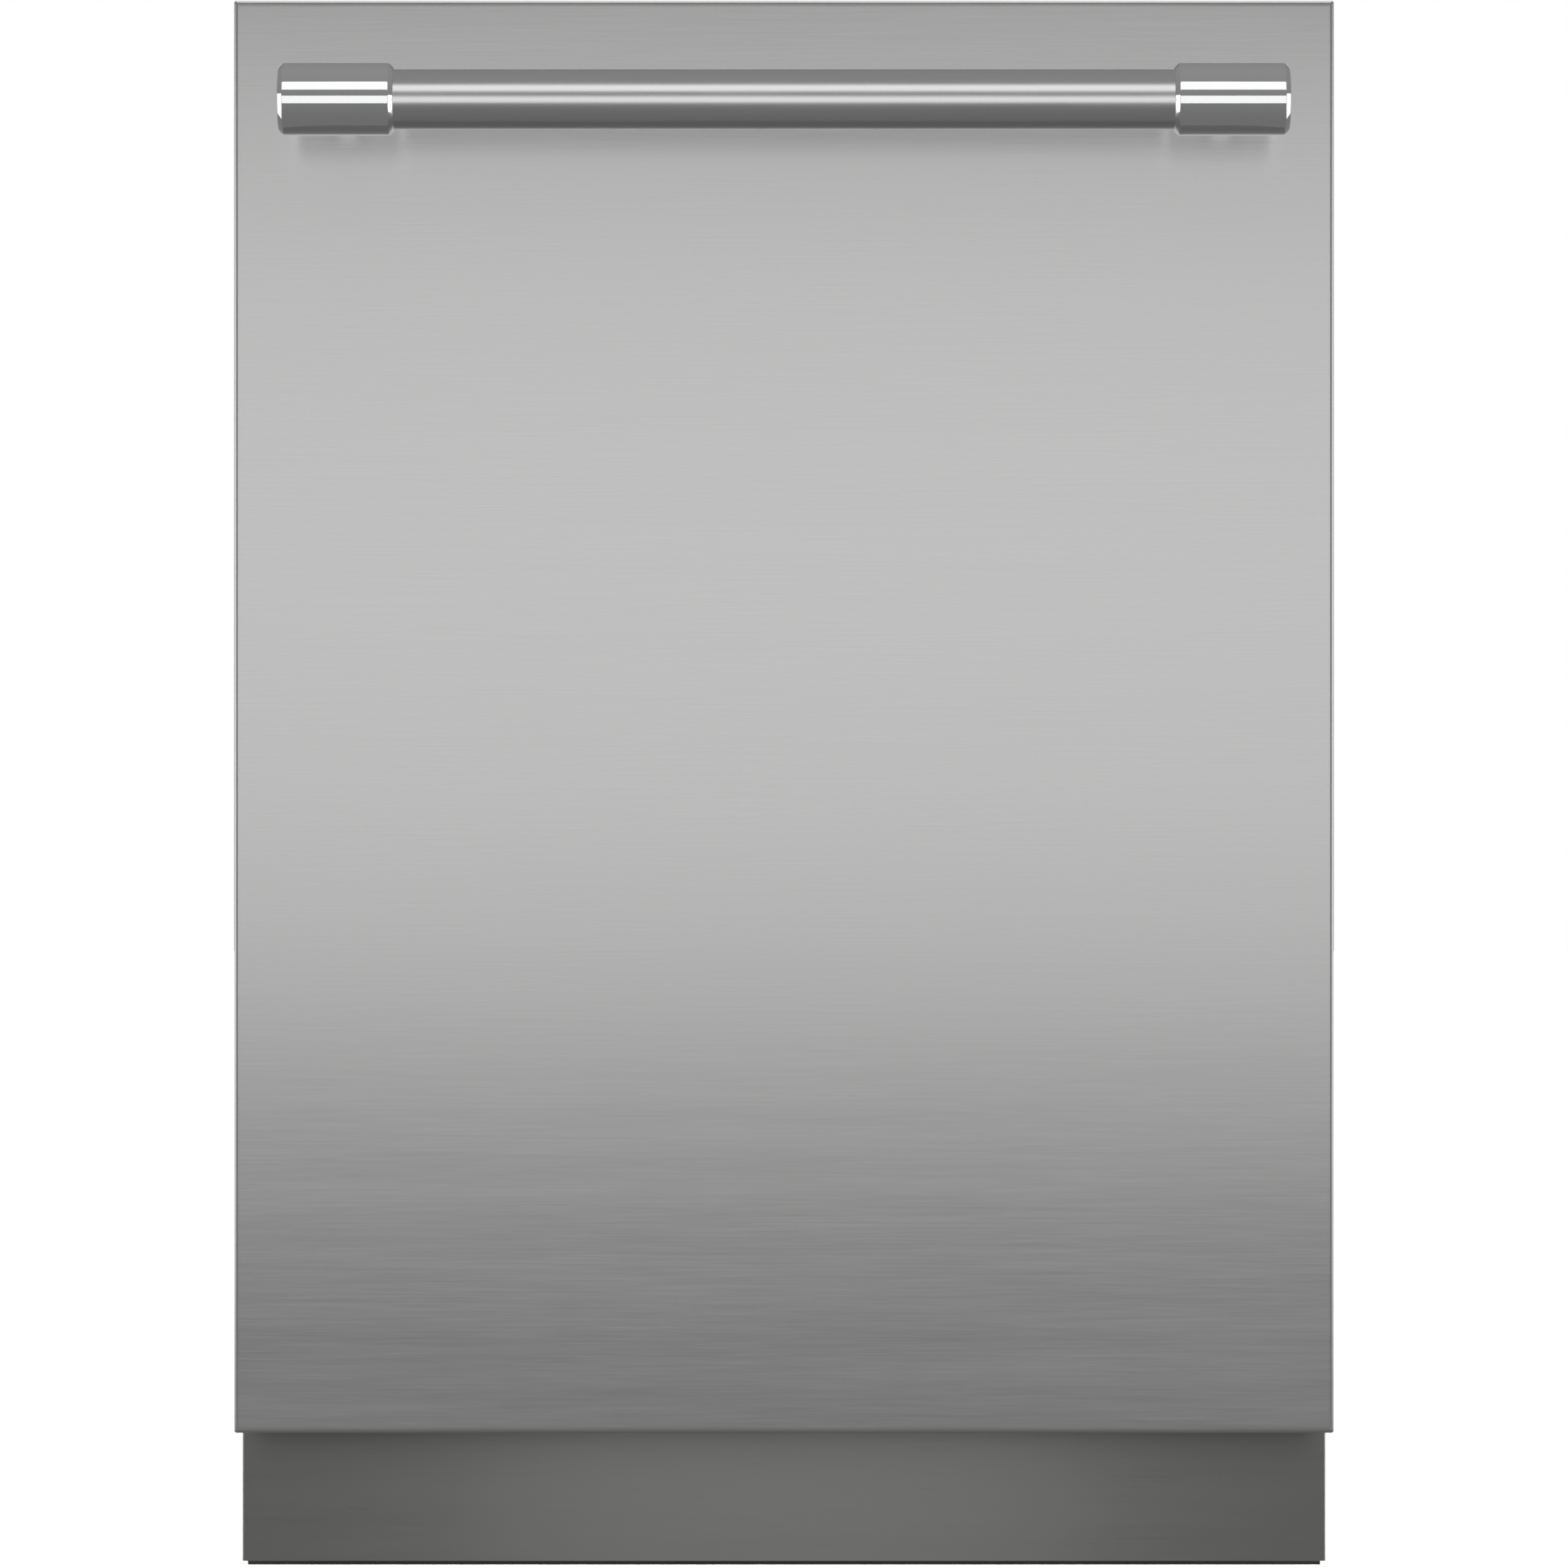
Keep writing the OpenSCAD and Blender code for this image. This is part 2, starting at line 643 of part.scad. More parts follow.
module worktop_brackets() color("#8f9396") from_face() both_sides()
  difference() {
    union() {
      span([bracket_hole_x - 16, tub_y0 + sheet_t, ceiling_z + sheet_t],
           [bracket_hole_x + 16, tub_y0 + sheet_t + 2, flange_z + 2]);
      span([bracket_hole_x - 16, tub_y0 + sheet_t, flange_z],
           [bracket_hole_x + 16, tub_y0 + 44, flange_z + 2]);
    }
    rod_z(bracket_hole_x, bracket_hole_y, flange_z - 1, 4, bracket_hole_r);
  }

module base_pan() color("#2e3033") from_face() {
  skirt = half_w - side_t - 0.2;
  difference() {
    union() {
      span([-skirt, base_y0, base_z], [skirt, base_y1, base_z + skirt_h]);
      span([-base_half, base_y0, base_z], [base_half, base_y1, base_top]);
    }
    span([-base_half + base_wall, base_y0 + base_wall, base_z + base_wall],
         [base_half - base_wall, base_y1 - base_wall, base_top + eps]);
    // the bowl of the front wall, below the tub's front flange
    span([-pan_half - 1, base_y0 - eps, base_top - 14],
         [pan_half + 1, base_y0 + base_wall + eps, base_top + eps]);
    for (p = foot_places) rod_z(p.x, p.y, base_z - eps, base_wall + 40, foot_r + 0.1);
    rod_y(inlet_x, base_y1 - base_wall - eps, inlet_z, base_wall + 2 * eps, inlet_r + fitting_gap);
    rod_y(drain_x, base_y1 - base_wall - eps, drain_z, base_wall + 2 * eps, drain_r + fitting_gap);
    both_sides() rod_y(kick_screw_x, base_y0 - eps, kick_screw_z, base_wall + 2 * eps, screw_hole_r);
    rod_y(entry_x, base_y1 - base_wall - eps, entry_z, base_wall + 2 * eps, entry_r + entry_gap);
  }
  difference() {
    for (p = foot_places) rod_z(p.x, p.y, base_z + eps, 34, 12);
    for (p = foot_places) rod_z(p.x, p.y, base_z - eps, 40, foot_r + 0.1);
  }
}

module levelling_feet() color("#3c3f42") from_face() for (p = foot_places) {
  rod_z(p.x, p.y, 0, 6, 18);
  rod_z(p.x, p.y, 6, 5, 9);
  rod_z(p.x, p.y, 10, 44, foot_r);
}

module kick_plate() color("#7b7d7d") from_face() {
  top = toe_h + 6;
  t = 1.5;
  span([-half_w, kick_recess, kick_seal_h], [half_w, kick_recess + t, top]);
  both_sides() difference() {
    span([kick_screw_x - 14, kick_recess, kick_screw_z - 12],
         [kick_screw_x + 14, base_y0, kick_screw_z + 12]);
    rod_y(kick_screw_x, kick_recess + t, kick_screw_z, base_y0, screw_hole_r);
  }
}

module kick_seal() color("#1c1c1c") from_face() {
  half = half_w - 3;
  span([-half, kick_recess - 0.4, 0], [half, kick_recess + 3, kick_seal_h]);
  span([-half, kick_recess + 1.5, 0], [half, kick_recess + 3, kick_seal_h + 7]);
}

// counterbalance springs with the cords that pull the hinge arms
module door_springs() color("#6a6e72") from_face() both_sides() {
  x = base_half - 14;
  z = hinge_z - 18;
  difference() {
    rod_y(x, base_y0 + 120, z, 190, 8);
    rod_y(x, base_y0 + 122, z, 186, 6);
  }
  rod_y(x, base_y0 + base_wall + 1, z, 120, 1.2);
  rod_y(x, base_y0 + 308, z, base_y1 - base_y0 - 308 - base_wall, 1.6);
}

// ---------------------------------------------------------------- water works
module sump() color("#3b4045") from_face() {
  r = sump_r - 2;
  difference() {
    union() {
      rod_z(0, tub_mid, sump_z, sump_top - sump_z, r);
      rod_z(0, tub_mid, sump_top - 3, 3, sump_r + flat_ring);
      rod_x(-r - 24, tub_mid, pump_z, 40, 15);
      rod_x(r - 16, tub_mid, pump_z, 40, 11);
    }
    rod_z(0, tub_mid, sump_z + sump_wall, sump_top, r - sump_wall);
    rod_x(-r - 25, tub_mid, pump_z, 45, 12);
    rod_x(r - 20, tub_mid, pump_z, 45, 8);
  }
  difference() {
    union() {
      rod_z(0, tub_mid, sump_z + 1, arm_z - 1.5 - sump_z, column_r + 5);
      rod_z(0, tub_mid, sump_z + 1, arm_z + 13 - sump_z, column_r);
    }
    rod_z(0, tub_mid, sump_z + sump_wall, arm_z, column_r - 3);
  }
}

module filter_cup() color("#cfd2d3") from_face() {
  top = dish_z + 14;
  z0 = sump_z + sump_wall + 0.5;
  difference() {
    rod_z(cup_at.x, cup_at.y, z0, top - z0, cup_r);
    rod_z(cup_at.x, cup_at.y, z0 + 2, top - z0, cup_r - 2);
  }
  difference() {
    span([cup_at.x - cup_r + 1, cup_at.y - 4, top - 10], [cup_at.x + cup_r - 1, cup_at.y + 4, top]);
    rod_x(cup_at.x - 18, cup_at.y, top - 10, 36, 3);
  }
}

module filter_plate() color("#b4b6b7") from_face()
  difference() {
    rod_z(0, tub_mid, plate_z, 1.2, plate_r);
    rod_z(0, tub_mid, dish_z, 14, column_r + 5.3);
    rod_z(cup_at.x, cup_at.y, dish_z, 14, cup_r + 0.15);
    for (k = [1 : 2]) for (a = [0 : 15 : 359])
      translate([0, tub_mid, 0]) rotate(a + k * 7.5)
        rod_z(sump_r - 12 + k * 14, 0, dish_z, 14, 2.2);
  }

module circulation_pump() color("#55595e") from_face() {
  x1 = -(sump_r - 2) - 24;
  difference() {
    rod_x(x1 - 26, tub_mid, pump_z, 26, 30);
    rod_x(x1 - 23, tub_mid, pump_z, 24, 14);
  }
  rod_x(x1 - 110, tub_mid, pump_z, 84.5, 27);
  rod_x(x1 - 116, tub_mid, pump_z, 8, 12);
}

module drain_pump() color("#6a4a3a") from_face() {
  x0 = sump_r - 2 + 24;
  difference() {
    rod_x(x0, tub_mid, pump_z, 18, 22);
    rod_x(x0 - eps, tub_mid, pump_z, 14, 10);
  }
  rod_x(x0 + 17.5, tub_mid, pump_z, 42, 18);
}

module inlet_valve() color("#e2e4e4") from_face() {
  y0 = base_y1 - 70;
  difference() {
    union() {
      span([inlet_x - 22, y0, inlet_z - 20], [inlet_x + 22, base_y1 - 12, inlet_z + 20]);
      rod_y(inlet_x, base_y1 - 13, inlet_z, machine_d - base_y1 + 13, inlet_r);
      rod_z(inlet_x, y0 + 16, inlet_z, 38, 12);
    }
    rod_y(inlet_x, base_y1 - 20, inlet_z, 60, inlet_r - 4);
  }
}

module drain_outlet() color("#3b4045") from_face()
  difference() {
    union() {
      rod_y(drain_x, base_y1 - 60, drain_z, machine_d - base_y1 + 60, drain_r);
      rod_y(drain_x, base_y1 - base_wall - 6, drain_z, 5, drain_r + 6);
    }
    rod_y(drain_x, base_y1 - 61, drain_z, 80, drain_r - 2);
  }

module water_tank() color("#e6e8e8") from_face() {
  x0 = -half_w + side_t + 0.5;
  x1 = -tub_half - gap - jacket_t - 0.5;
  span([x0, tub_y0 + 90, floor_z + 60], [x1, tub_y1 - 90, floor_z + 440]);
}

module heater() color("#8e8478") from_face() {
  z = floor_z + 6;
  translate([0, tub_mid, z]) rotate_extrude() translate([heater_r, 0]) circle(r = heater_tube_r, $fn = 32);
  // threaded ends with their seals, through the tub's floor
  for (x = [-heater_leg, heater_leg])
    rod_z(x, heater_y, base_top - 12, z - base_top + 18, heater_end_r);
}

module junction_box() color("#9a9d9f") from_face() {
  x0 = entry_x - box_half;
  x1 = entry_x + box_half;
  y0 = base_y0 + 12;
  y1 = base_y0 + 72;
  z0 = base_z + base_wall;
  z1 = base_z + 46;
  difference() {
    span([x0, y0, z0], [x1, y1, z1]);
    span([x0 + box_wall, y0 + box_wall, z0 + box_wall],
         [x1 - box_wall, y1 - box_wall, z1 - box_wall]);
    rod_y(entry_x, y1 - 12, entry_z, 20, entry_r);
  }
}

module feed_pipe() color("#c9cbcc") from_face() {
  w = 20;
  y0 = tub_back - 16;
  top = duct_top;
  hub_z = duct_top - duct_h;
  span([-w, y0, floor_z + 0.5], [w, tub_back - 1, top]);
  span([-w, tub_mid - 14, hub_z], [w, tub_back - 1, top]);
  rod_z(0, tub_mid, hub_z - 15, 16, top_spout_r);
  rod_y(0, y0 - 6, manifold_z, 8, 13);
}

// a blade with jets along one face, on a hub that turns on a spout
module spray_arm(l, bore_r, z, hub_h, up) {
  blade_w = 34;
  blade_t = 9;
  jet_r = 2;
  jet_depth = 3;
  jets = 5;
  hub_r = bore_r + 9;
  blade_z = z + 3;
  tip = l / 2 - blade_w / 2;
  jet_z = up ? blade_z + blade_t - jet_depth : z;
  difference() {
    union() {
      rod_z(0, 0, z, hub_h, hub_r);
      span([-tip, -blade_w / 2, blade_z], [tip, blade_w / 2, blade_z + blade_t]);
      for (s = [-1, 1]) rod_z(s * tip, 0, blade_z, blade_t, blade_w / 2);
    }
    rod_z(0, 0, up ? z - eps : blade_z, hub_h - 3 + eps, bore_r + run);
    for (s = [-1, 1]) for (i = [1 : jets])
      rod_z(s * i * (l / 2 - 24) / (jets + 0.2), s * (i % 2 == 0 ? 6 : -6), jet_z, 2 * jet_depth, jet_r);
  }
}
module lower_spray_arm() color("#9da0a2") from_face()
  translate([0, tub_mid, 0]) rotate(35) spray_arm(lower_arm_l, column_r, arm_z, 18, true);
module middle_spray_arm() color("#9da0a2") from_face()
  translate([0, tub_mid, 0]) rotate(-25)
    spray_arm(middle_arm_l, middle_spout_r, middle_arm_z, 18, false);
module top_spray_arm() color("#9da0a2") from_face()
  translate([0, tub_mid, 0]) rotate(50) spray_arm(top_arm_l, top_spout_r, top_arm_z, 17, false);

// ---------------------------------------------------------------- racks
// a welded basket: floor grid, rims and upright wires on four sides
module wire_basket(half, y0, y1, z, h, rims) {
  xs = places(-half, half, wire_pitch);
  ys = places(y0, y1, wire_pitch * 1.25);
  for (x = xs) wire_y(x, z, y0 - wire_r, y1 + wire_r);
  for (y = ys) wire_x(y, z + weld, -half - weld, half + weld);
  // the rims' front and back wires lie a little below the side ones, as they do before welding
  rim_step = 0.4;
  // uprights are a little thinner, so that no side of theirs lies flush with a floor wire's
  upright_r = wire_r * 0.93;
  for (x = xs) for (y = [y0 + weld * 0.5 - wire_d, y1 - weld * 0.5 + wire_d])
    wire_z(x, y, z - 1, z + h, upright_r);
  for (y = ys) for (x = [-half - weld, half + weld]) wire_z(x, y, z + 1, z + h, upright_r);
  for (k = rims) {
    for (y = [y0 + weld * 0.5 - wire_d, y1 - weld * 0.5 + wire_d])
      wire_x(y, z + k * h - rim_step, -half - weld, half + weld, wire_r * 1.1);
    for (x = [-half - weld, half + weld])
      wire_y(x, z + k * h, y0 - wire_d, y1 + wire_d, wire_r * 1.15);
  }
}

// a row of tines that stand on a wire along Y
module tine_row(x, z, y0, y1, l) for (y = places(y0, y1, 27)) wire_z(x, y, z, z + l, wire_r * 0.9);

module lower_rack() color("#b9bcbe") from_face() {
  wire_basket(lower_half, rack_y0, rack_y1, lower_z, lower_rack_h, [0.5, 1]);
  for (x = [-184, -92, 0]) {
    wire_y(x, lower_z + 2 * weld, rack_y0 + 30, rack_y1 - 30);
    tine_row(x, lower_z + 2 * weld, rack_y0 + 40, rack_y1 - 40, tine_l);
  }
  // bearings of the fold-down row, each on a foot that reaches the next cross wire
  first_cross = (rack_y1 - rack_y0) / round((rack_y1 - rack_y0) / (wire_pitch * 1.25));
  for (y = [rack_y0 + 30, rack_y1 - 30]) difference() {
    span([fold_x - 7, y - 4, lower_z], [fold_x + 7, y + 4, fold_z + 6]);
    rod_y(fold_x, y - 5, fold_z, 10, wire_r + run);
  }
  span([fold_x - 6, rack_y0 + 27, lower_z + 1], [fold_x + 6, rack_y0 + first_cross + 1, lower_z + 5]);
  span([fold_x - 6, rack_y1 - first_cross - 1, lower_z + 1], [fold_x + 6, rack_y1 - 27, lower_z + 5]);
  both_sides() for (y = [front_wheel_y, rear_wheel_y]) {
    span([lower_half + 1, y - 12, wheel_z - 8], [wheel_x - gap * 0.5, y + 12, lower_z + 22]);
    rod_x(lower_half + 2, y, wheel_z, wheel_w + 5, wheel_stud_r);
  }
}

module wheel_pair(y) both_sides() difference() {
  rod_x(wheel_x, y, wheel_z, wheel_w, wheel_d / 2);
  rod_x(wheel_x - eps, y, wheel_z, wheel_w + 2 * eps, wheel_stud_r + run);
  difference() {
    rod_x(wheel_x + wheel_w - 3, y, wheel_z, 4, wheel_d / 2 - 4);
    rod_x(wheel_x + wheel_w - 4, y, wheel_z, 6, wheel_stud_r + 4);
  }
}
module front_wheels() color("#6d7175") from_face() wheel_pair(front_wheel_y);
module rear_wheels() color("#6d7175") from_face() wheel_pair(rear_wheel_y);

module fold_tines() color("#b9bcbe") from_face() {
  rod_y(fold_x, rack_y0 + 24, fold_z, rack_y1 - rack_y0 - 48, wire_r);
  tine_row(fold_x, fold_z, rack_y0 + 48, rack_y1 - 48, tine_l);
}

module upper_rack() color("#b9bcbe") from_face() {
  wire_basket(upper_half, rack_y0, rack_y1, upper_z, upper_rack_h, [upper_mid_rim, 1]);
  for (x = [-70, 40]) {
    wire_y(x, upper_z + 2 * weld, rack_y0 + 30, rack_y1 - 30);
    tine_row(x, upper_z + 2 * weld, rack_y0 + 40, rack_y1 - 40, tine_l * 0.5);
  }
  // inner members of the runners
  both_sides()
    span([upper_wall + 0.4, rack_y0 + 4, rail_z + 5], [tub_in - 9, rack_y1, rail_z + rail_h - 5]);
  // bearings of the cup shelves
  both_sides() for (y = shelf_bearings) difference() {
    span([shelf_x - 6, y - 3, shelf_z - 5], [upper_wall, y + 3, shelf_z + 7]);
    rod_y(shelf_x, y - 4, shelf_z, 8, wire_r + run);
  }
}

module rack_manifold() color("#8b8f92") from_face() {
  span([-13, tub_mid, manifold_z - 7], [13, tub_back - 24, manifold_z + 7]);
  rod_z(0, tub_mid, manifold_z - 7, 14, 15);
  rod_z(0, tub_mid, middle_arm_z + 4, manifold_z - middle_arm_z - 4, middle_spout_r);
}

// one shelf for cups, hinged on the side of the upper rack
module cup_shelf() {
  y0 = shelf_bearings[0];
  y1 = shelf_bearings[1];
  rod_y(shelf_x, y0 - 8, shelf_z, y1 - y0 + 16, wire_r);
  for (y = places(y0 + 16, y1 - 16, 30)) wire_x(y, shelf_z, shelf_x - shelf_w, shelf_x);
  for (k = [0.35, 1]) wire_y(shelf_x - k * shelf_w, shelf_z + weld, y0 + 14, y1 - 14);
}
module cup_shelf_right() color("#b9bcbe") from_face() cup_shelf();
module cup_shelf_left() color("#b9bcbe") from_face() mirror([1, 0, 0]) cup_shelf();

// a channel that opens towards the middle of the tub
module channel(x0, x1, z0, z1, y0, y1) difference() {
  span([x0, y0, z0], [x1, y1, z1]);
  span([x0 - eps, y0 - eps, z0 + rail_t], [x1 - rail_t, y1 + eps, z1 - rail_t]);
}
module outer_rails() color("#a2a5a8") from_face() both_sides() {
  channel(tub_in - 17, tub_in, rail_z, rail_z + rail_h, rack_y0, rack_y1 + 4);
  channel(tub_in - 12, tub_in, tray_z + 12 - tray_rail_h / 2, tray_z + 14 + tray_rail_h / 2,
          rack_y0, rack_y1 + 4);
}
module middle_runners() color("#b1b4b6") from_face() both_sides()
  channel(tub_in - 21, tub_in - rail_t - 0.5, rail_z + rail_t + 0.5, rail_z + rail_h - rail_t - 0.5,
          rack_y0 + 3, rack_y1);

module cutlery_tray() color("#85898c") from_face() {
  wall = 2.5;
  y0 = rack_y0 + 2;
  y1 = rack_y1 - 6;
  difference() {
    span([-tray_half, y0, tray_z], [tray_half, y1, tray_z + tray_h]);
    for (bay = [[-tray_half + wall, -95], [-95 + wall, 95 - wall], [95, tray_half - wall]])
      span([bay[0], y0 + wall, tray_z + wall], [bay[1], y1 - wall, tray_z + tray_h + eps]);
    for (x = places(-tray_half + 22, tray_half - 22, 24)) for (y = places(y0 + 24, y1 - 24, 60))
      span([x - 7, y - 22, tray_z - eps], [x + 7, y + 22, tray_z + wall + eps]);
  }
  both_sides() span([tray_half - eps, y0, tray_z + 12 - tray_rail_h / 2 + rail_t + 0.4],
                    [tub_in - rail_t - 0.5, y1, tray_z + 12 + tray_rail_h / 2 - 0.4]);
}

door_panel();
door_insulation();
inner_door();
bottom_seal();
control_fascia();
control_board();
display_window();
button_power();
button_start();
button_program();
button_options();
latch_body();
latch_hook();
latch_strike();
handle_bar();
handle_cap_left();
handle_cap_right();
hinge_arms();
hinge_brackets();
hinge_pins();
door_screws();
dispenser_body();
dispenser_lid();
rinse_aid_cap();
tub();
tub_back();
tub_floor();
tub_flange();
tub_gasket();
side_panels();
back_panel();
insulation_jacket();
worktop_brackets();
base_pan();
levelling_feet();
kick_plate();
kick_seal();
door_springs();
sump();
filter_cup();
filter_plate();
circulation_pump();
drain_pump();
inlet_valve();
drain_outlet();
water_tank();
heater();
junction_box();
feed_pipe();
lower_spray_arm();
middle_spray_arm();
top_spray_arm();
lower_rack();
front_wheels();
rear_wheels();
fold_tines();
upper_rack();
rack_manifold();
cup_shelf_left();
cup_shelf_right();
outer_rails();
middle_runners();
cutlery_tray();
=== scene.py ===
# %% [markdown]
# # A built-in dishwasher
# The machine is a folded sheet-steel door with a round bar handle, over a dark recessed kick
# plate. Behind the door are a pressed steel tub, two wire racks on runners, a cutlery tray and
# three spray arms. The working parts come from a fixed frame in metres. This lesson dresses
# them: some parts only need a better finish, others get a finer mesh in their place.

# %% Load the fixed frame
import json
import math

import bmesh
import bpy
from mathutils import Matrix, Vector

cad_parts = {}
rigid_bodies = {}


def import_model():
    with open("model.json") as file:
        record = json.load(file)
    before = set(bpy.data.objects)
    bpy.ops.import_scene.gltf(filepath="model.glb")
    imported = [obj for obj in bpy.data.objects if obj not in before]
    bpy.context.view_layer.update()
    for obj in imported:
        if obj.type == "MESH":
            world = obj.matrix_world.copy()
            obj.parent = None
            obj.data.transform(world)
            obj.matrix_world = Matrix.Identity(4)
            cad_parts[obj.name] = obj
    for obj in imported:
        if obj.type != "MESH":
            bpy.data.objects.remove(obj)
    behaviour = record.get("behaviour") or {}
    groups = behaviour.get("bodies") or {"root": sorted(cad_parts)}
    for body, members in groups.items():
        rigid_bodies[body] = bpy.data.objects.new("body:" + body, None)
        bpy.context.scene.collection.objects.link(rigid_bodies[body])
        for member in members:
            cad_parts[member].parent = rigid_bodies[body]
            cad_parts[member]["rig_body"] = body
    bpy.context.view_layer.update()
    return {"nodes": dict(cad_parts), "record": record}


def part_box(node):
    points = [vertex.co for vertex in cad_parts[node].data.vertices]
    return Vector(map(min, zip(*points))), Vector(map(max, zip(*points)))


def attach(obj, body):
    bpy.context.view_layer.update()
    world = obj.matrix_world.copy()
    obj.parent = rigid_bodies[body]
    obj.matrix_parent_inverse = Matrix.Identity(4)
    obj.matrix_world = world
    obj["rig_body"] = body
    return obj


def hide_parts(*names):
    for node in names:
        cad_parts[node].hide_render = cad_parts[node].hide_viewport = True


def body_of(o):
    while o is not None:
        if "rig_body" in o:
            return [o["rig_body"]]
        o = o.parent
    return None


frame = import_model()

nodes = frame["nodes"]

# %% [markdown]
# ## Small helpers
# Most pieces here are turned, folded or bent from wire, so three tools make nearly all of them:
# one that spins an outline round an axis, one that lofts a row of closed loops, and one that
# runs a round wire along a path. Each gives a closed mesh, which a renderer and a printer like.

# %% Helpers that turn meshes into pieces
MM = 0.001


def piece_from(mesh_name, bm, material, body, smooth=True):
    """Makes an object of a bmesh, gives it its finish and lets it ride on a body."""
    bmesh.ops.recalc_face_normals(bm, faces=bm.faces)
    mesh = bpy.data.meshes.new(mesh_name)
    bm.to_mesh(mesh)
    bm.free()
    for face in mesh.polygons:
        face.use_smooth = smooth
    piece = bpy.data.objects.new(mesh_name, mesh)
    bpy.context.scene.collection.objects.link(piece)
    mesh.materials.append(material)
    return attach(piece, body)


def sharpen(piece, degrees=30):
    """Keeps edges crisp where faces meet at more than this angle."""
    piece.data.set_sharp_from_angle(angle=math.radians(degrees))
    return piece


def loft(bm, loops, closed_ends=True):
    """Joins a row of loops with the same number of points into a skin."""
    rows = [[bm.verts.new(p) for p in loop] for loop in loops]
    for a, b in zip(rows, rows[1:]):
        for i in range(len(a)):
            j = (i + 1) % len(a)
            bm.faces.new((a[i], a[j], b[j], b[i]))
    if closed_ends:
        bm.faces.new(rows[0])
        bm.faces.new(rows[-1])
    return rows


def turned(bm, outline, centre, axis="X", steps=96):
    """Spins an outline of (place along the axis, radius) points round a line through centre."""
    loops = []
    for along, radius in outline:
        loop = []
        for i in range(steps):
            a = 2 * math.pi * i / steps
            u, v = radius * math.cos(a), radius * math.sin(a)
            point = {"X": (along, u, v), "Y": (u, along, v), "Z": (u, v, along)}[axis]
            loop.append(Vector(centre) + Vector(point))
        loops.append(loop)
    return loft(bm, loops)


def rounded_outline(x0, x1, z0, z1, radius, steps=5):
    """The corner points of a rectangle with round corners, as (x, z) pairs."""
    points = []
    corners = [(x1, z1, 0), (x0, z1, 90), (x0, z0, 180), (x1, z0, 270)]
    for x, z, start in corners:
        cx = x - radius if x == x1 else x + radius
        cz = z - radius if z == z1 else z + radius
        for k in range(steps + 1):
            a = math.radians(start + 90 * k / steps)
            points.append((cx + radius * math.cos(a), cz + radius * math.sin(a)))
    return points


def block(bm, lo, hi, edge=0.0004):
    """Adds a box whose edges are broken by a small bevel, as every real edge is."""
    made = bmesh.ops.create_cube(bm, size=1)["verts"]
    lo, hi = Vector(lo), Vector(hi)
    for v in made:
        v.co = lo + Vector([(v.co[i] + 0.5) * (hi - lo)[i] for i in range(3)])
    if edge:
        edges = list({e for v in made for e in v.link_edges})
        bmesh.ops.bevel(bm, geom=edges, offset=edge, segments=2, affect="EDGES", profile=0.5)


# %% [markdown]
# ## Brushed stainless steel
# Steel sheet is brushed with a belt that runs one way, so it carries thousands of hair-thin
# scratches. They do two things: they draw faint streaks along the sheet, and they spread a
# reflection across the scratches far more than along them. The streaks are noise that is
# stretched along the sheet. The spread is the shader's anisotropy, whose direction comes from
# a tangent that runs round the X axis, so it stands at right angles to the brushing.

# %% Make the steel finishes
def new_finish(name):
    """An empty material with its node tree and its main shader."""
    material = bpy.data.materials.new(name)
    material.use_nodes = True
    return material, material.node_tree, material.node_tree.nodes["Principled BSDF"]


def noise_on(tree, scale, detail=3.0, roughness=0.5, stretch=(1, 1, 1)):
    """A noise pattern fixed to the piece, in metres, stretched along its own axes."""
    place = tree.nodes.new("ShaderNodeTexCoord")
    mapping = tree.nodes.new("ShaderNodeMapping")
    mapping.inputs["Scale"].default_value = stretch
    pattern = tree.nodes.new("ShaderNodeTexNoise")
    pattern.inputs["Scale"].default_value = scale
    pattern.inputs["Detail"].default_value = detail
    pattern.inputs["Roughness"].default_value = roughness
    tree.links.new(place.outputs["Object"], mapping.inputs["Vector"])
    tree.links.new(mapping.outputs["Vector"], pattern.inputs["Vector"])
    return pattern.outputs["Fac"]


def spread_over(tree, value, low, high, to_min=0.3, to_max=0.7):
    """Maps a pattern's middle range onto the range that a socket needs."""
    node = tree.nodes.new("ShaderNodeMapRange")
    node.inputs["From Min"].default_value = to_min
    node.inputs["From Max"].default_value = to_max
    node.inputs["To Min"].default_value = low
    node.inputs["To Max"].default_value = high
    tree.links.new(value, node.inputs["Value"])
    return node.outputs["Result"]


def blend_colours(tree, factor, colour_a, colour_b):
    """Mixes two colours by a pattern."""
    node = tree.nodes.new("ShaderNodeMix")
    node.data_type = "RGBA"
    node.inputs["A"].default_value = (*colour_a, 1)
    node.inputs["B"].default_value = (*colour_b, 1)
    tree.links.new(factor, node.inputs["Factor"])
    return node.outputs["Result"]


def bump_from(tree, shader, height, strength, distance):
    """Raises the surface a little by a pattern."""
    node = tree.nodes.new("ShaderNodeBump")
    node.inputs["Strength"].default_value = strength
    node.inputs["Distance"].default_value = distance
    tree.links.new(height, node.inputs["Height"])
    tree.links.new(node.outputs["Normal"], shader.inputs["Normal"])


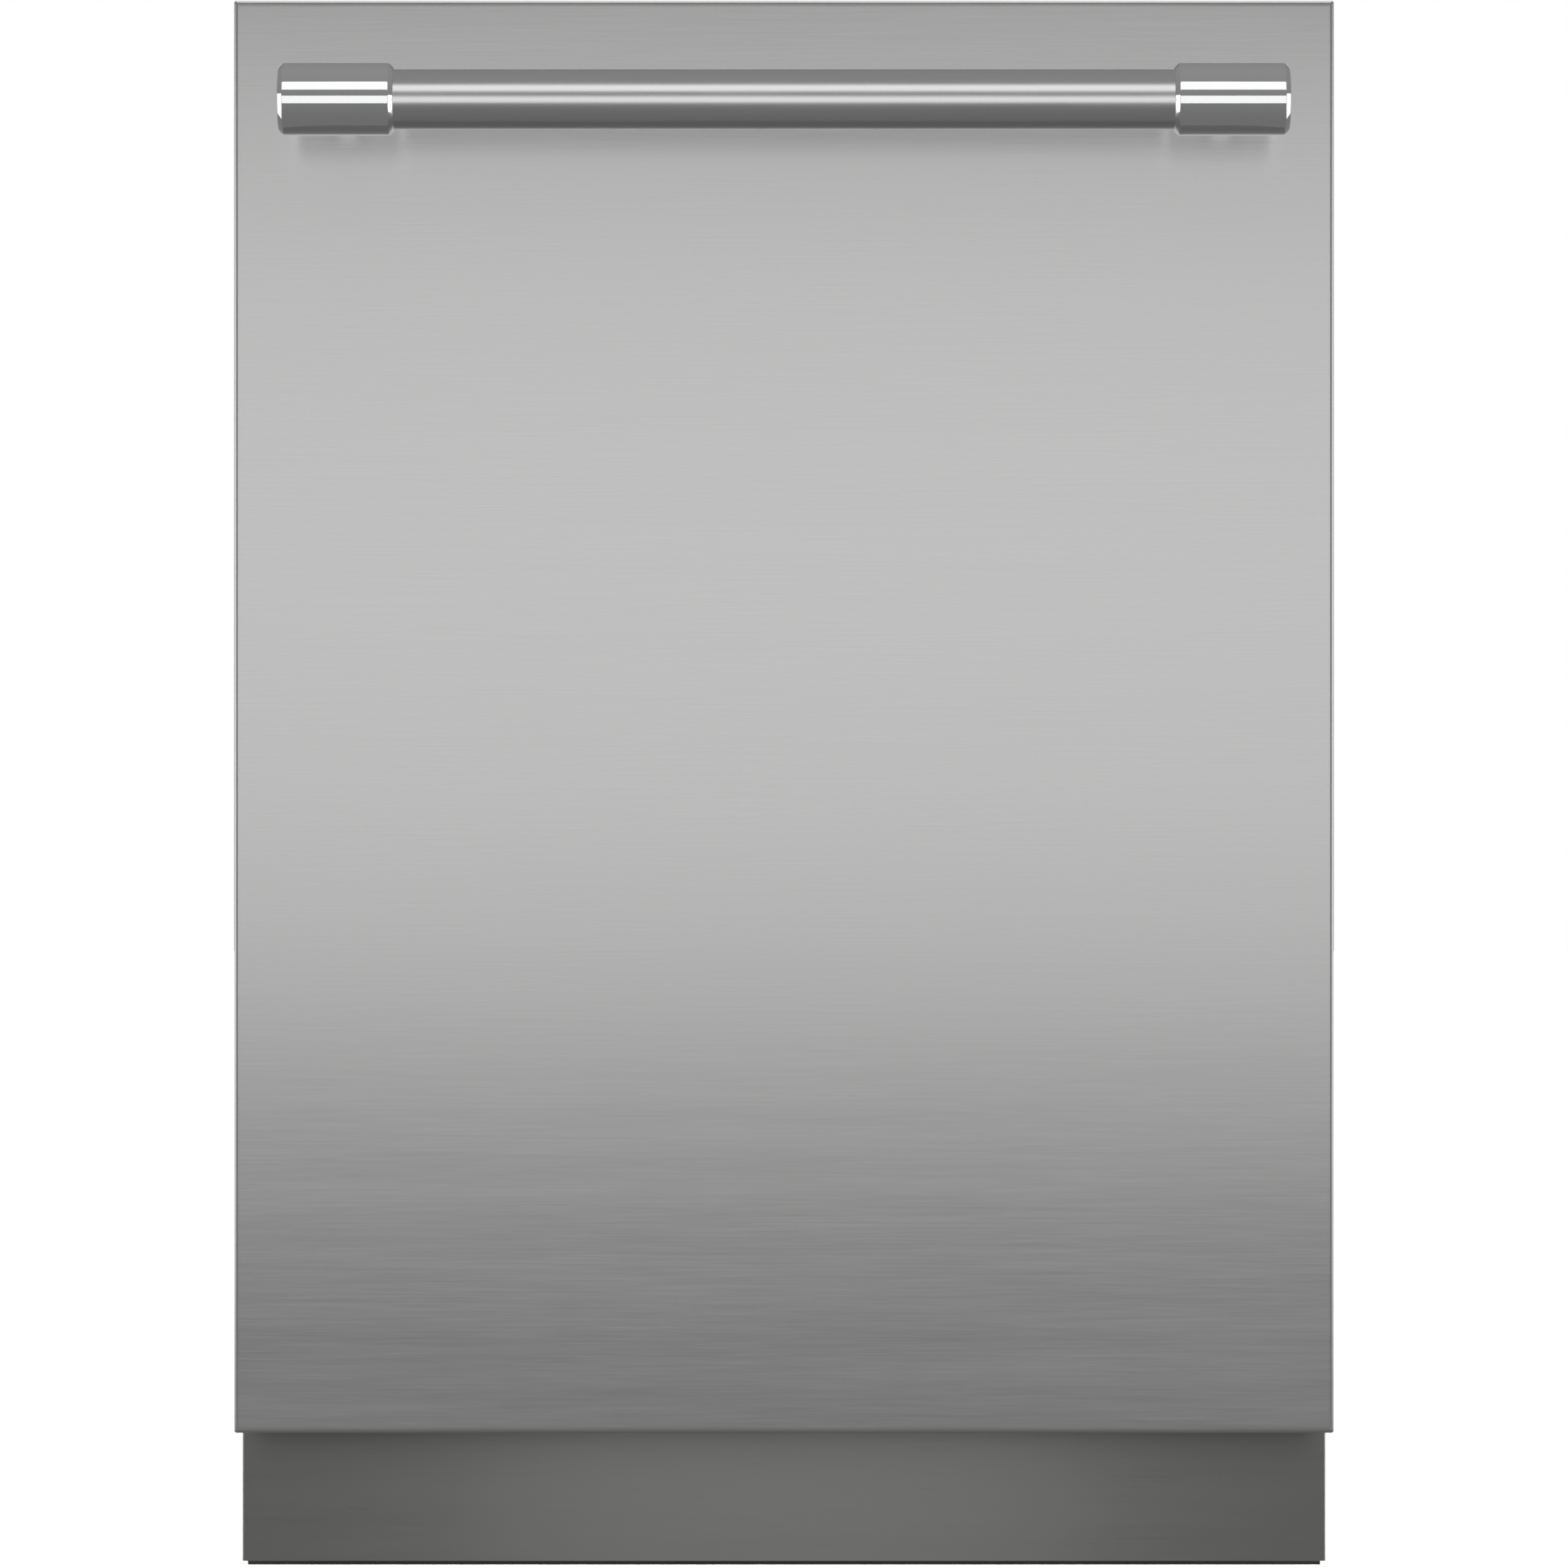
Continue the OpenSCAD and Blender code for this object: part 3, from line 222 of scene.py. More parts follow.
def brushed_steel(name, colour, roughness, variation=0.03, anisotropy=0.6, along="X"):
    """Steel with scratches along one axis of the machine."""
    material, tree, shader = new_finish(name)
    stretch = {"X": (6, 420, 420), "Y": (420, 6, 420), "Z": (420, 420, 6)}[along]
    broad = {"X": (1.2, 34, 34), "Y": (34, 1.2, 34), "Z": (34, 34, 1.2)}[along]
    hair = noise_on(tree, 3.0, 6.0, 0.72, stretch)
    band = noise_on(tree, 2.0, 2.0, 0.5, broad)
    both = tree.nodes.new("ShaderNodeMath")
    both.operation = "MULTIPLY_ADD"
    both.inputs[1].default_value = 0.7
    tree.links.new(hair, both.inputs[0])
    scaled = tree.nodes.new("ShaderNodeMath")
    scaled.operation = "MULTIPLY"
    scaled.inputs[1].default_value = 0.3
    tree.links.new(band, scaled.inputs[0])
    tree.links.new(scaled.outputs[0], both.inputs[2])
    streaks = both.outputs[0]
    dark = [c * (1 - variation) for c in colour]
    light = [min(1, c * (1 + variation)) for c in colour]
    tint = blend_colours(tree, spread_over(tree, streaks, 0, 1, 0.35, 0.65), dark, light)
    tree.links.new(tint, shader.inputs["Base Color"])
    rough = spread_over(tree, streaks, roughness * 0.85, roughness * 1.15)
    tree.links.new(rough, shader.inputs["Roughness"])
    shader.inputs["Metallic"].default_value = 1
    shader.inputs["Anisotropic"].default_value = anisotropy
    tangent = tree.nodes.new("ShaderNodeTangent")
    tangent.direction_type = "RADIAL"
    tangent.axis = "X"
    tree.links.new(tangent.outputs["Tangent"], shader.inputs["Tangent"])
    bump_from(tree, shader, hair, 0.04, 0.0001)
    return material


door_steel = brushed_steel("door_steel", (0.62, 0.622, 0.618), roughness=0.235,
                           variation=0.05, anisotropy=0.7)
# The kick plate's base colour is far darker than the door's steel: painted shade for the recess under
# the overhanging door.
kick_steel = brushed_steel("kick_steel", (0.36, 0.362, 0.352), roughness=0.3,
                           variation=0.03, anisotropy=0.6)
bar_steel = brushed_steel("bar_steel", (0.74, 0.74, 0.74), roughness=0.22,
                          variation=0.03, anisotropy=0.5)
tub_steel = brushed_steel("tub_steel", (0.6, 0.6, 0.6), roughness=0.3,
                          variation=0.02, anisotropy=0.3, along="Y")
rail_steel = brushed_steel("rail_steel", (0.6, 0.6, 0.61), roughness=0.28,
                           variation=0.02, anisotropy=0.4, along="Y")
hard_steel = brushed_steel("hard_steel", (0.42, 0.43, 0.44), roughness=0.35,
                           variation=0.05, anisotropy=0.2)
print("steels:", [m.name for m in bpy.data.materials if "steel" in m.name])

# %% [markdown]
# ## Polished chrome
# The handle's end caps are plated and polished, so they mirror the room. Plating is never
# perfect: very faint polishing haze varies the roughness, and without it the caps look drawn.

# %% Make the chrome
def polished_chrome():
    """A mirror with a breath of polishing haze."""
    material, tree, shader = new_finish("polished_chrome")
    haze = noise_on(tree, 60.0, 4.0, 0.6)
    tint = blend_colours(tree, haze, (0.86, 0.865, 0.87), (0.9, 0.9, 0.9))
    tree.links.new(tint, shader.inputs["Base Color"])
    tree.links.new(spread_over(tree, haze, 0.045, 0.075), shader.inputs["Roughness"])
    shader.inputs["Metallic"].default_value = 1
    return material


chrome = polished_chrome()
print("chrome:", chrome.name)

# %% [markdown]
# ## Zinc-coated sheet
# The side and back panels and the brackets are hot-dip zinc-coated. Zinc freezes into flat
# crystals, called spangle, that tilt a little and so differ in brightness. Voronoi cells are
# made the same way, by growth from scattered seeds, and give the right pattern.

# %% Make the zinc finish
def zinc_sheet():
    """Cold grey metal with a faint crystal pattern."""
    material, tree, shader = new_finish("zinc_sheet")
    place = tree.nodes.new("ShaderNodeTexCoord")
    cells = tree.nodes.new("ShaderNodeTexVoronoi")
    cells.inputs["Scale"].default_value = 130
    cells.inputs["Randomness"].default_value = 1
    tree.links.new(place.outputs["Object"], cells.inputs["Vector"])
    grey = tree.nodes.new("ShaderNodeRGBToBW")
    tree.links.new(cells.outputs["Color"], grey.inputs["Color"])
    tint = blend_colours(tree, grey.outputs["Val"], (0.5, 0.51, 0.52), (0.6, 0.61, 0.62))
    tree.links.new(tint, shader.inputs["Base Color"])
    smear = noise_on(tree, 9.0, 4.0)
    tree.links.new(spread_over(tree, smear, 0.36, 0.5), shader.inputs["Roughness"])
    shader.inputs["Metallic"].default_value = 0.9
    bump_from(tree, shader, grey.outputs["Val"], 0.05, 0.0002)
    return material


zinc = zinc_sheet()
print("zinc:", zinc.name)

# %% [markdown]
# ## Plastics and rubber
# Moulded plastic takes the fine grain that is etched into its mould. A small noise bump gives
# that grain, and a slow change of roughness gives the handling and the flow of the melt. One
# function makes them all, and only colour, grain and gloss differ.

# %% Make the plastics and the rubber
def moulded(name, colour, roughness, grain=2400, depth=0.00005, drift=0.12):
    """Moulded plastic or rubber with an etched grain."""
    material, tree, shader = new_finish(name)
    fine = noise_on(tree, grain, 2.0)
    slow = noise_on(tree, 14.0, 3.0)
    darker = [c * 0.86 for c in colour]
    lighter = [min(1, c * 1.12) for c in colour]
    tint = blend_colours(tree, spread_over(tree, slow, 0, 1), darker, lighter)
    tree.links.new(tint, shader.inputs["Base Color"])
    rough = spread_over(tree, slow, roughness - drift / 2, roughness + drift / 2)
    tree.links.new(rough, shader.inputs["Roughness"])
    bump_from(tree, shader, fine, 0.35, depth)
    return material


grey_plastic = moulded("grey_plastic", (0.26, 0.27, 0.28), 0.5)
rack_nylon = moulded("rack_nylon", (0.36, 0.37, 0.38), 0.42, grain=1600, depth=0.00003)
black_plastic = moulded("black_plastic", (0.022, 0.022, 0.024), 0.48)
key_plastic = moulded("key_plastic", (0.25, 0.26, 0.27), 0.32, grain=3000, depth=0.00002)
pale_plastic = moulded("pale_plastic", (0.66, 0.67, 0.67), 0.36, grain=3000, depth=0.00002)
seal_rubber = moulded("seal_rubber", (0.018, 0.018, 0.018), 0.62, grain=1500, depth=0.00006)
board_green = moulded("board_green", (0.01, 0.09, 0.035), 0.3, grain=900, depth=0.00004)
print("moulded: grey, nylon, black, key and pale plastic, rubber and board")

# %% [markdown]
# ## Fibre mat, smoked window and heater tube
# Three finishes are seen only in small places. The mat is pressed waste fibre, so its bump is
# coarse and nothing on it shines. The window is nearly black and glossy under a clear coat. The
# tube has been hot, and steel that has been hot turns straw and brown in uneven patches.

# %% Make the mat, the window and the heater tube
def fibre_mat():
    """Pressed waste fibre: matt, dark, with short fibres that lie every way."""
    material, tree, shader = new_finish("fibre_mat")
    fibres = noise_on(tree, 900.0, 8.0, 0.8, (1, 1, 0.35))
    clumps = noise_on(tree, 40.0, 5.0)
    mixed = spread_over(tree, clumps, 0, 1)
    tint = blend_colours(tree, mixed, (0.028, 0.028, 0.03), (0.075, 0.075, 0.078))
    tree.links.new(tint, shader.inputs["Base Color"])
    shader.inputs["Roughness"].default_value = 0.95
    shader.inputs["Sheen Weight"].default_value = 0.3
    bump_from(tree, shader, fibres, 0.8, 0.0006)
    return material


mat_finish = fibre_mat()


def smoked_window():
    """The dark clear window over the display."""
    material, tree, shader = new_finish("smoked_window")
    smear = noise_on(tree, 30.0, 3.0)
    tint = blend_colours(tree, smear, (0.006, 0.006, 0.008), (0.012, 0.012, 0.015))
    tree.links.new(tint, shader.inputs["Base Color"])
    tree.links.new(spread_over(tree, smear, 0.06, 0.14), shader.inputs["Roughness"])
    shader.inputs["Coat Weight"].default_value = 0.6
    return material


def heated_tube():
    """Steel that heat has tinted towards straw and brown."""
    material, tree, shader = new_finish("heated_tube")
    tint_noise = noise_on(tree, 18.0, 3.0)
    tint = blend_colours(tree, tint_noise, (0.24, 0.2, 0.16), (0.36, 0.33, 0.3))
    tree.links.new(tint, shader.inputs["Base Color"])
    tree.links.new(spread_over(tree, tint_noise, 0.3, 0.5), shader.inputs["Roughness"])
    shader.inputs["Metallic"].default_value = 1
    return material


window_finish = smoked_window()
heater_finish = heated_tube()
print("special:", mat_finish.name, window_finish.name, heater_finish.name)

# %% [markdown]
# ## Give every part of the frame its finish
# The record names one slot for each part. A table from slot to finish dresses them all at
# once, so no part is left in its plain colour, even where nobody looks.

# %% Dress the parts by slot
finish_of_slot = {
    "door_steel": door_steel,
    "bar_steel": bar_steel,
    "cap_chrome": chrome,
    "kick_steel": kick_steel,
    "tub_steel": tub_steel,
    "zinc_steel": zinc,
    "hard_steel": hard_steel,
    "rail_steel": rail_steel,
    "rack_nylon": rack_nylon,
    "grey_plastic": grey_plastic,
    "black_plastic": black_plastic,
    "key_plastic": key_plastic,
    "pale_plastic": pale_plastic,
    "window_glass": window_finish,
    "board_green": board_green,
    "seal_rubber": seal_rubber,
    "fibre_mat": mat_finish,
    "heater_metal": heater_finish,
}
for part in frame["record"]["subparts"]:
    mesh = nodes[part["node"]].data
    mesh.materials.clear()
    mesh.materials.append(finish_of_slot[part["material_slot"]])
print("dressed", len(nodes), "parts in", len(finish_of_slot), "finishes")

# %% [markdown]
# ## The door's outer panel
# The panel is one sheet, folded back on all four sides. What the eye reads as quality is the
# fold: a radius of about two millimetres that catches a thin line of light. A box with a bevel
# would do for the front, but a real panel is thin and hollow, so the skin is lofted from
# rounded loops: out over the fold, along the return, and back inside one sheet thickness away.

# %% Loft the door panel
panel_lo, panel_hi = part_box("door_panel")
sheet = 1.2 * MM
fold = 2.2 * MM
corner = 1.4 * MM
face_band = 1.5 * MM


def panel_loop(inset, depth):
    """One loop of the panel's skin, so far in from its outline and so deep behind its face."""
    outline = rounded_outline(
        panel_lo.x + inset, panel_hi.x - inset, panel_lo.z + inset, panel_hi.z - inset,
        max(corner - inset * 0.4, 0.5 * MM),
    )
    return [(x, panel_lo.y + depth, z) for x, z in outline]


def folded_skin(bend, rim):
    """Loops from the flat face, over the fold, to the rim, and back inside the sheet."""
    quarter = [math.radians(a) for a in range(0, 91, 15)]
    outer = [(bend * (1 - math.sin(a)), bend * (1 - math.cos(a))) for a in quarter]
    outer = [(bend + face_band, 0.0)] + outer + [(0.0, rim)]
    inner_bend = bend - sheet
    inner = [(sheet + inner_bend * (1 - math.sin(a)), sheet + inner_bend * (1 - math.cos(a)))
             for a in reversed(quarter)]
    inner = [(sheet, rim)] + inner + [(bend + face_band, sheet)]
    return [panel_loop(inset, depth) for inset, depth in outer + inner]


top_return = 5.5 * MM
side_return = 22 * MM
bottom_return = 12 * MM
side_lip = 11 * MM
lip_z = (0.13, 0.79)
overlap = 0.3 * MM
bm = bmesh.new()
loft(bm, folded_skin(fold, top_return))
side_z = (panel_lo.z + 2.2 * MM, panel_hi.z - 4 * MM)
for sign in (-1, 1):
    outer_x = sign * panel_hi.x
    wall = sorted((outer_x, outer_x - sign * sheet))
    lip = sorted((outer_x, outer_x - sign * side_lip))
    face_y = panel_lo.y
    block(bm, (wall[0], face_y + top_return - overlap, side_z[0]),
          (wall[1], face_y + side_return, side_z[1]), 0.15 * MM)
    block(bm, (lip[0], face_y + side_return - sheet, lip_z[0]),
          (lip[1], face_y + side_return, lip_z[1]), 0.2 * MM)
block(bm, (-panel_hi.x + 3 * MM, panel_lo.y + top_return - overlap, panel_lo.z),
      (panel_hi.x - 3 * MM, panel_lo.y + bottom_return, panel_lo.z + sheet), 0.2 * MM)
door_skin = piece_from("door_skin", bm, door_steel, "door")
sharpen(door_skin, 35)
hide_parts("door_panel")
print("door skin", len(door_skin.data.polygons), "faces")

# %% [markdown]
# ## The handle
# The bar is turned from tube and brushed along its length. Each end cap is a thicker turned
# sleeve, chamfered at both ends, and its post to the door hides behind it. A lathe outline
# spun round the bar's axis makes both, and tiny roundings at the chamfers catch the light.

# %% Turn the bar and its caps
bar_lo, bar_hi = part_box("handle_bar")
bar_centre = (bar_lo + bar_hi) / 2
bar_r = (bar_hi.z - bar_lo.z) / 2
bm = bmesh.new()
half_bar = (bar_hi.x - bar_lo.x) / 2
edge = 0.4 * MM
turned(bm, [(-half_bar, bar_r - edge), (-half_bar + edge, bar_r), (-half_bar + 3 * edge, bar_r),
            (half_bar - 3 * edge, bar_r), (half_bar - edge, bar_r), (half_bar, bar_r - edge)],
       bar_centre, "X", 128)
bar = piece_from("handle_bar_turned", bm, bar_steel, "door")
sharpen(bar, 40)
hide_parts("handle_bar")


def soft_corner(before, at, after, radius, steps=4):
    """Replaces a corner of an outline with a small curve."""
    at = Vector(at)
    start = at + (Vector(before) - at).normalized() * radius
    end = at + (Vector(after) - at).normalized() * radius
    return [tuple(start.lerp(at, t).lerp(at.lerp(end, t), t)) for t in
            [k / steps for k in range(steps + 1)]]


def cap_outline(length, radius, bore, chamfer):
    """A sleeve's outline from its inner end to its closed outer end."""
    raw = [(0, bore), (0, radius - chamfer), (chamfer, radius), (length - chamfer, radius),
           (length, radius - chamfer), (length, 0.3 * MM)]
    outline = [raw[0]]
    for a, b, c in zip(raw, raw[1:], raw[2:]):
        outline += soft_corner(a, b, c, 0.35 * MM)
    return outline + [raw[-1]]


cap_chamfer = 2.6 * MM
post_r = 12 * MM
for side, sign in (("left", -1), ("right", 1)):
    lo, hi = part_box(f"handle_cap_{side}")
    cap_r = (hi.z - lo.z) / 2
    inner_x = hi.x if sign < 0 else lo.x
    bm = bmesh.new()
    outline = cap_outline(hi.x - lo.x, cap_r, bar_r + 0.05 * MM, cap_chamfer)
    turned(bm, [(sign * x, r) for x, r in outline], (inner_x, bar_centre.y, bar_centre.z))
    post_x = (lo.x + hi.x) / 2
    base_y = hi.y
    turned(bm, [(bar_centre.y, post_r), (base_y - 3 * MM, post_r), (base_y - 1.2 * MM, post_r),
                (base_y - 0.4 * MM, post_r - 0.1 * MM), (base_y, post_r - 0.5 * MM)],
           (post_x, 0, bar_centre.z), "Y", 64)
    cap = piece_from(f"handle_cap_turned_{side}", bm, chrome, "door")
    sharpen(cap, 50)
    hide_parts(f"handle_cap_{side}")
    print(side, "cap", round((hi.x - lo.x) / MM, 1), "mm long,", round(2 * cap_r / MM, 1), "mm across")

# %% [markdown]
# ## The kick plate and its rubber strip
# The kick plate stands back under the door so that feet have room. It is a flat brushed sheet
# with its ends folded back, over a black strip that wipes the floor. Its steel's base colour is set
# far darker than the door's, as painted shade for the recess under the door. The end folds are
# tight, so they turn away from the light and draw a dark line at each side.

# %% Fold the kick plate and draw the strip
kick_lo, kick_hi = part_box("kick_plate")
kick_t = 1.5 * MM
kick_fold = 1.4 * MM
bm = bmesh.new()
section = [(kick_hi.x, kick_t + 3 * MM)]
for a in range(0, 91, 15):
    t = math.radians(a)
    section.append((kick_hi.x - kick_fold * (1 - math.cos(t)), kick_fold * (1 - math.sin(t))))
section += [(-x, d) for x, d in reversed(section)]
inner = [(math.copysign(abs(x) - kick_t, x) if d > kick_t else math.copysign(kick_hi.x - kick_t, x),
          max(d, kick_t)) for x, d in section]
outline = section + inner[::-1]
loft(bm, [[(x, kick_lo.y + d, z) for x, d in outline] for z in (kick_lo.z, kick_hi.z)])
block(bm, (-kick_hi.x + 2 * MM, kick_lo.y + 0.3 * MM, kick_hi.z - 1.2 * MM),
      (kick_hi.x - 2 * MM, kick_hi.y, kick_hi.z), 0.3 * MM)
bmesh.ops.remove_doubles(bm, verts=bm.verts, dist=1e-6)
kick = piece_from("kick_plate_folded", bm, kick_steel, "cabinet")
sharpen(kick, 35)
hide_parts("kick_plate")

seal_lo, seal_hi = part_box("kick_seal")
bm = bmesh.new()
lip = 2 * MM
profile = [(0, 0.5 * MM), (0.5 * MM, 0), (3.1 * MM, 0), (3.4 * MM, 0.4 * MM),
           (3.4 * MM, seal_hi.z - 0.3 * MM), (3.1 * MM, seal_hi.z), (2.2 * MM, seal_hi.z),
           (1.9 * MM, seal_hi.z - 0.3 * MM), (1.9 * MM, lip), (0.4 * MM, lip), (0, lip - 0.4 * MM)]
loft(bm, [[(x, seal_lo.y + y, z) for y, z in profile] for x in (seal_lo.x, seal_hi.x)])
strip = piece_from("kick_strip", bm, seal_rubber, "cabinet")
sharpen(strip, 40)
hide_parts("kick_seal")
print("kick plate stands", round((kick_lo.y - panel_lo.y) / MM), "mm behind the door's face")

# %% [markdown]
# ## The wire racks
# A dishwasher rack is made of straight wires that are bent up at both ends, crossed, welded
# and then dipped in nylon. The coat rounds every end and fills the crossings a little. Each
# wire here is a round tube along a bent path, with an end that narrows to a dome, so the rack
# shows bends at its foot and soft tips, which straight rods that cut through each other don't.

# %% Helpers that bend wire
wire_r = 2 * MM
weld_step = 3.2 * MM
end_gap = 2.4 * MM


def bent_path(points, radius, steps=4):
    """Rounds the corners of a path, as a bending die does."""
    points = [Vector(p) for p in points]
    path = [points[0]]
    for a, b, c in zip(points, points[1:], points[2:]):
        start = b + (a - b).normalized() * radius
        end = b + (c - b).normalized() * radius
        path += [start.lerp(b, t).lerp(b.lerp(end, t), t) for t in
                 [k / steps for k in range(steps + 1)]]
    return path + [points[-1]]


def wire(bm, path, radius=wire_r, sides=10, closed=False):
    """A round wire along a path that stays in one plane."""
    count = len(path)
    normal = Vector((0, 0, 0))
    for a, b, c in zip(path, path[1:], path[2:]):
        normal += (b - a).cross(c - b)
    if normal.length < 1e-9:
        first = (path[-1] - path[0]).normalized()
        normal = first.orthogonal()
    normal.normalize()
    rings = []
    for i, at in enumerate(path):
        before = path[i - 1] if (i or closed) else at
        after = path[(i + 1) % count] if (i + 1 < count or closed) else at
        along = (after - before).normalized()
        side = along.cross(normal).normalized()
        rings.append((at, along, side))
    loops = []
    for at, along, side in rings:
        loops.append([at + (side * math.cos(a) + normal * math.sin(a)) * radius
                      for a in [2 * math.pi * k / sides for k in range(sides)]])
    if closed:
        rows = loft(bm, loops, closed_ends=False)
        for i in range(sides):
            j = (i + 1) % sides
            bm.faces.new((rows[-1][i], rows[-1][j], rows[0][j], rows[0][i]))
        return
    tips = []
    for (at, along, side), out in ((rings[0], -1), (rings[-1], 1)):
        dome = []
        for lift, share in ((0.45, 0.8), (0.8, 0.45)):
            dome.append([at + along * out * radius * lift
                         + (side * math.cos(a) + normal * math.sin(a)) * radius * share
                         for a in [2 * math.pi * k / sides for k in range(sides)]])
        tips.append(dome)
    loft(bm, tips[0][::-1] + loops + tips[1])


def spaced(a, b, pitch):
    """Evenly spaced places from a to b, about pitch apart."""
    n = max(2, round((b - a) / pitch))
    return [a + (b - a) * i / n for i in range(n + 1)]


def basket(bm, half, y0, y1, z, height, rims, pitch=40 * MM):
    """Crossed wires with both ends bent up, inside rims that run all the way round."""
    front, back = y0 - end_gap, y1 + end_gap
    side = half + weld_step
    top = z + height
    for x in spaced(-half, half, pitch):
        wire(bm, bent_path([(x, front, top), (x, front, z), (x, back, z), (x, back, top)], 6 * MM))
    floor_z = z + weld_step
    for y in spaced(y0, y1, pitch * 1.25):
        wire(bm, bent_path([(-side, y, top), (-side, y, floor_z), (side, y, floor_z),
                            (side, y, top)], 6 * MM))
    for share in rims:
        level = z + share * height
        corners = [(0, front, level), (side, front, level), (side, back, level),
                   (-side, back, level), (-side, front, level), (0, front, level)]
        wire(bm, bent_path(corners, 9 * MM)[:-1], wire_r * 1.12, closed=True)


def tines(bm, x, z, y0, y1, length, pitch=27 * MM):
    """A row of pegs that hold plates apart."""
    for y in spaced(y0, y1, pitch):
        wire(bm, [Vector((x, y, z)), Vector((x, y, z + length * 0.5)),
                  Vector((x, y, z + length - wire_r * 0.8))], wire_r * 0.9)


def straight(bm, a, b, radius=wire_r):
    """One straight wire."""
    a, b = Vector(a), Vector(b)
    wire(bm, [a, a.lerp(b, 0.5), b], radius)


print("wire", 2 * wire_r / MM, "mm across, crossed", round(weld_step / MM, 1), "mm apart")

# %% [markdown]
# ## The lower rack and its folding tines
# The lower rack carries plates between rows of pegs, and one row folds flat for pans. So that
# row is its own piece, which turns with its own body in bearings on the floor wires. Plastic
# clips hold the wheels, and they belong to the rack, because the wheels turn in them.

# %% Bend the lower rack and its folding tines
rack_lo, rack_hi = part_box("lower_rack")
rack_y0 = rack_lo.y + end_gap + wire_r * 1.1
rack_y1 = rack_hi.y - end_gap - wire_r * 1.1
tine_lo, tine_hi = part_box("fold_tines")
fold_z = tine_lo.z + wire_r
fold_x = (tine_lo.x + tine_hi.x) / 2
tine_l = tine_hi.z - fold_z
lower_z = fold_z - weld_step - 6 * MM
lower_half = 252.8 * MM
lower_height = 120 * MM
row_places = (-184 * MM, -92 * MM, 0)
rail_inset = 30 * MM
row_inset = 40 * MM
fold_inset = 48 * MM
bm = bmesh.new()
basket(bm, lower_half, rack_y0, rack_y1, lower_z, lower_height, (0.5, 1))
for x in row_places:
    seat = lower_z + 2 * weld_step
    straight(bm, (x, rack_y0 + rail_inset, seat), (x, rack_y1 - rail_inset, seat))
    tines(bm, x, seat, rack_y0 + row_inset, rack_y1 - row_inset, tine_l)
lower_rack = piece_from("lower_rack_wires", bm, rack_nylon, "lower_basket")
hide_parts("lower_rack")

bm = bmesh.new()
ear_at, ear_half = 4.5 * MM, 2.4 * MM
for y in (rack_y0 + rail_inset, rack_y1 - rail_inset):
    for sign in (-1, 1):
        block(bm, (fold_x + sign * ear_at - ear_half, y - 4 * MM, lower_z),
              (fold_x + sign * ear_at + ear_half, y + 4 * MM, fold_z + 6 * MM), 0.8 * MM)
    block(bm, (fold_x - 7 * MM, y - 4 * MM, lower_z), (fold_x + 7 * MM, y + 4 * MM, lower_z + 6 * MM),
          0.8 * MM)
for node in ("front_wheels", "rear_wheels"):
    lo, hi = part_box(node)
    y, z = (lo.y + hi.y) / 2, (lo.z + hi.z) / 2
    for sign in (-1, 1):
        inner = lower_half + 1 * MM
        x0, x1 = sorted((sign * inner, sign * (inner + 2.4 * MM)))
        block(bm, (x0, y - 12 * MM, z - 8 * MM), (x1, y + 12 * MM, lower_z + 22 * MM), 0.9 * MM)
        turned(bm, [(sign * (inner + 1 * MM), 3 * MM), (sign * (hi.x + 0.9 * MM), 3 * MM),
                    (sign * (hi.x + 1.7 * MM), 2.3 * MM)], (0, y, z), "X", 24)
clips = piece_from("lower_rack_clips", bm, grey_plastic, "lower_basket")
sharpen(clips)

bm = bmesh.new()
straight(bm, (fold_x, tine_lo.y + 1 * MM, fold_z), (fold_x, tine_hi.y - 1 * MM, fold_z))
tines(bm, fold_x, fold_z, rack_y0 + fold_inset, rack_y1 - fold_inset, tine_l)
row = piece_from("fold_tine_row", bm, rack_nylon, "tine_row")
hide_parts("fold_tines")
print("lower rack", len(lower_rack.data.polygons), "faces, folding row", len(row.data.polygons))

# %% [markdown]
# ## The upper rack and its folding shelves
# The upper rack hangs between telescopic runners, so a steel member is fixed to each side of
# it. The two shelves for cups fold up against its sides. Each shelf is its own piece on its own
# body, and the bearings it turns in stay on the rack.

# %% Bend the upper rack and its shelves
up_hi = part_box("upper_rack")[1]
shelf_lo, shelf_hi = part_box("cup_shelf_right")
upper_half = 238.8 * MM
upper_wall = upper_half + weld_step
shelf_inset = 60 * MM
shelf_reach = 88 * MM
upper_height = 110 * MM
upper_z = up_hi.z - wire_r * 1.15 - upper_height
bm = bmesh.new()
basket(bm, upper_half, rack_y0, rack_y1, upper_z, upper_height, (0.55, 1))
for x in (-70 * MM, 40 * MM):
    seat = upper_z + 2 * weld_step
    straight(bm, (x, rack_y0 + rail_inset, seat), (x, rack_y1 - rail_inset, seat))
    tines(bm, x, seat, rack_y0 + row_inset, rack_y1 - row_inset, tine_l * 0.5)
upper_rack = piece_from("upper_rack_wires", bm, rack_nylon, "upper_basket")
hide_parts("upper_rack")

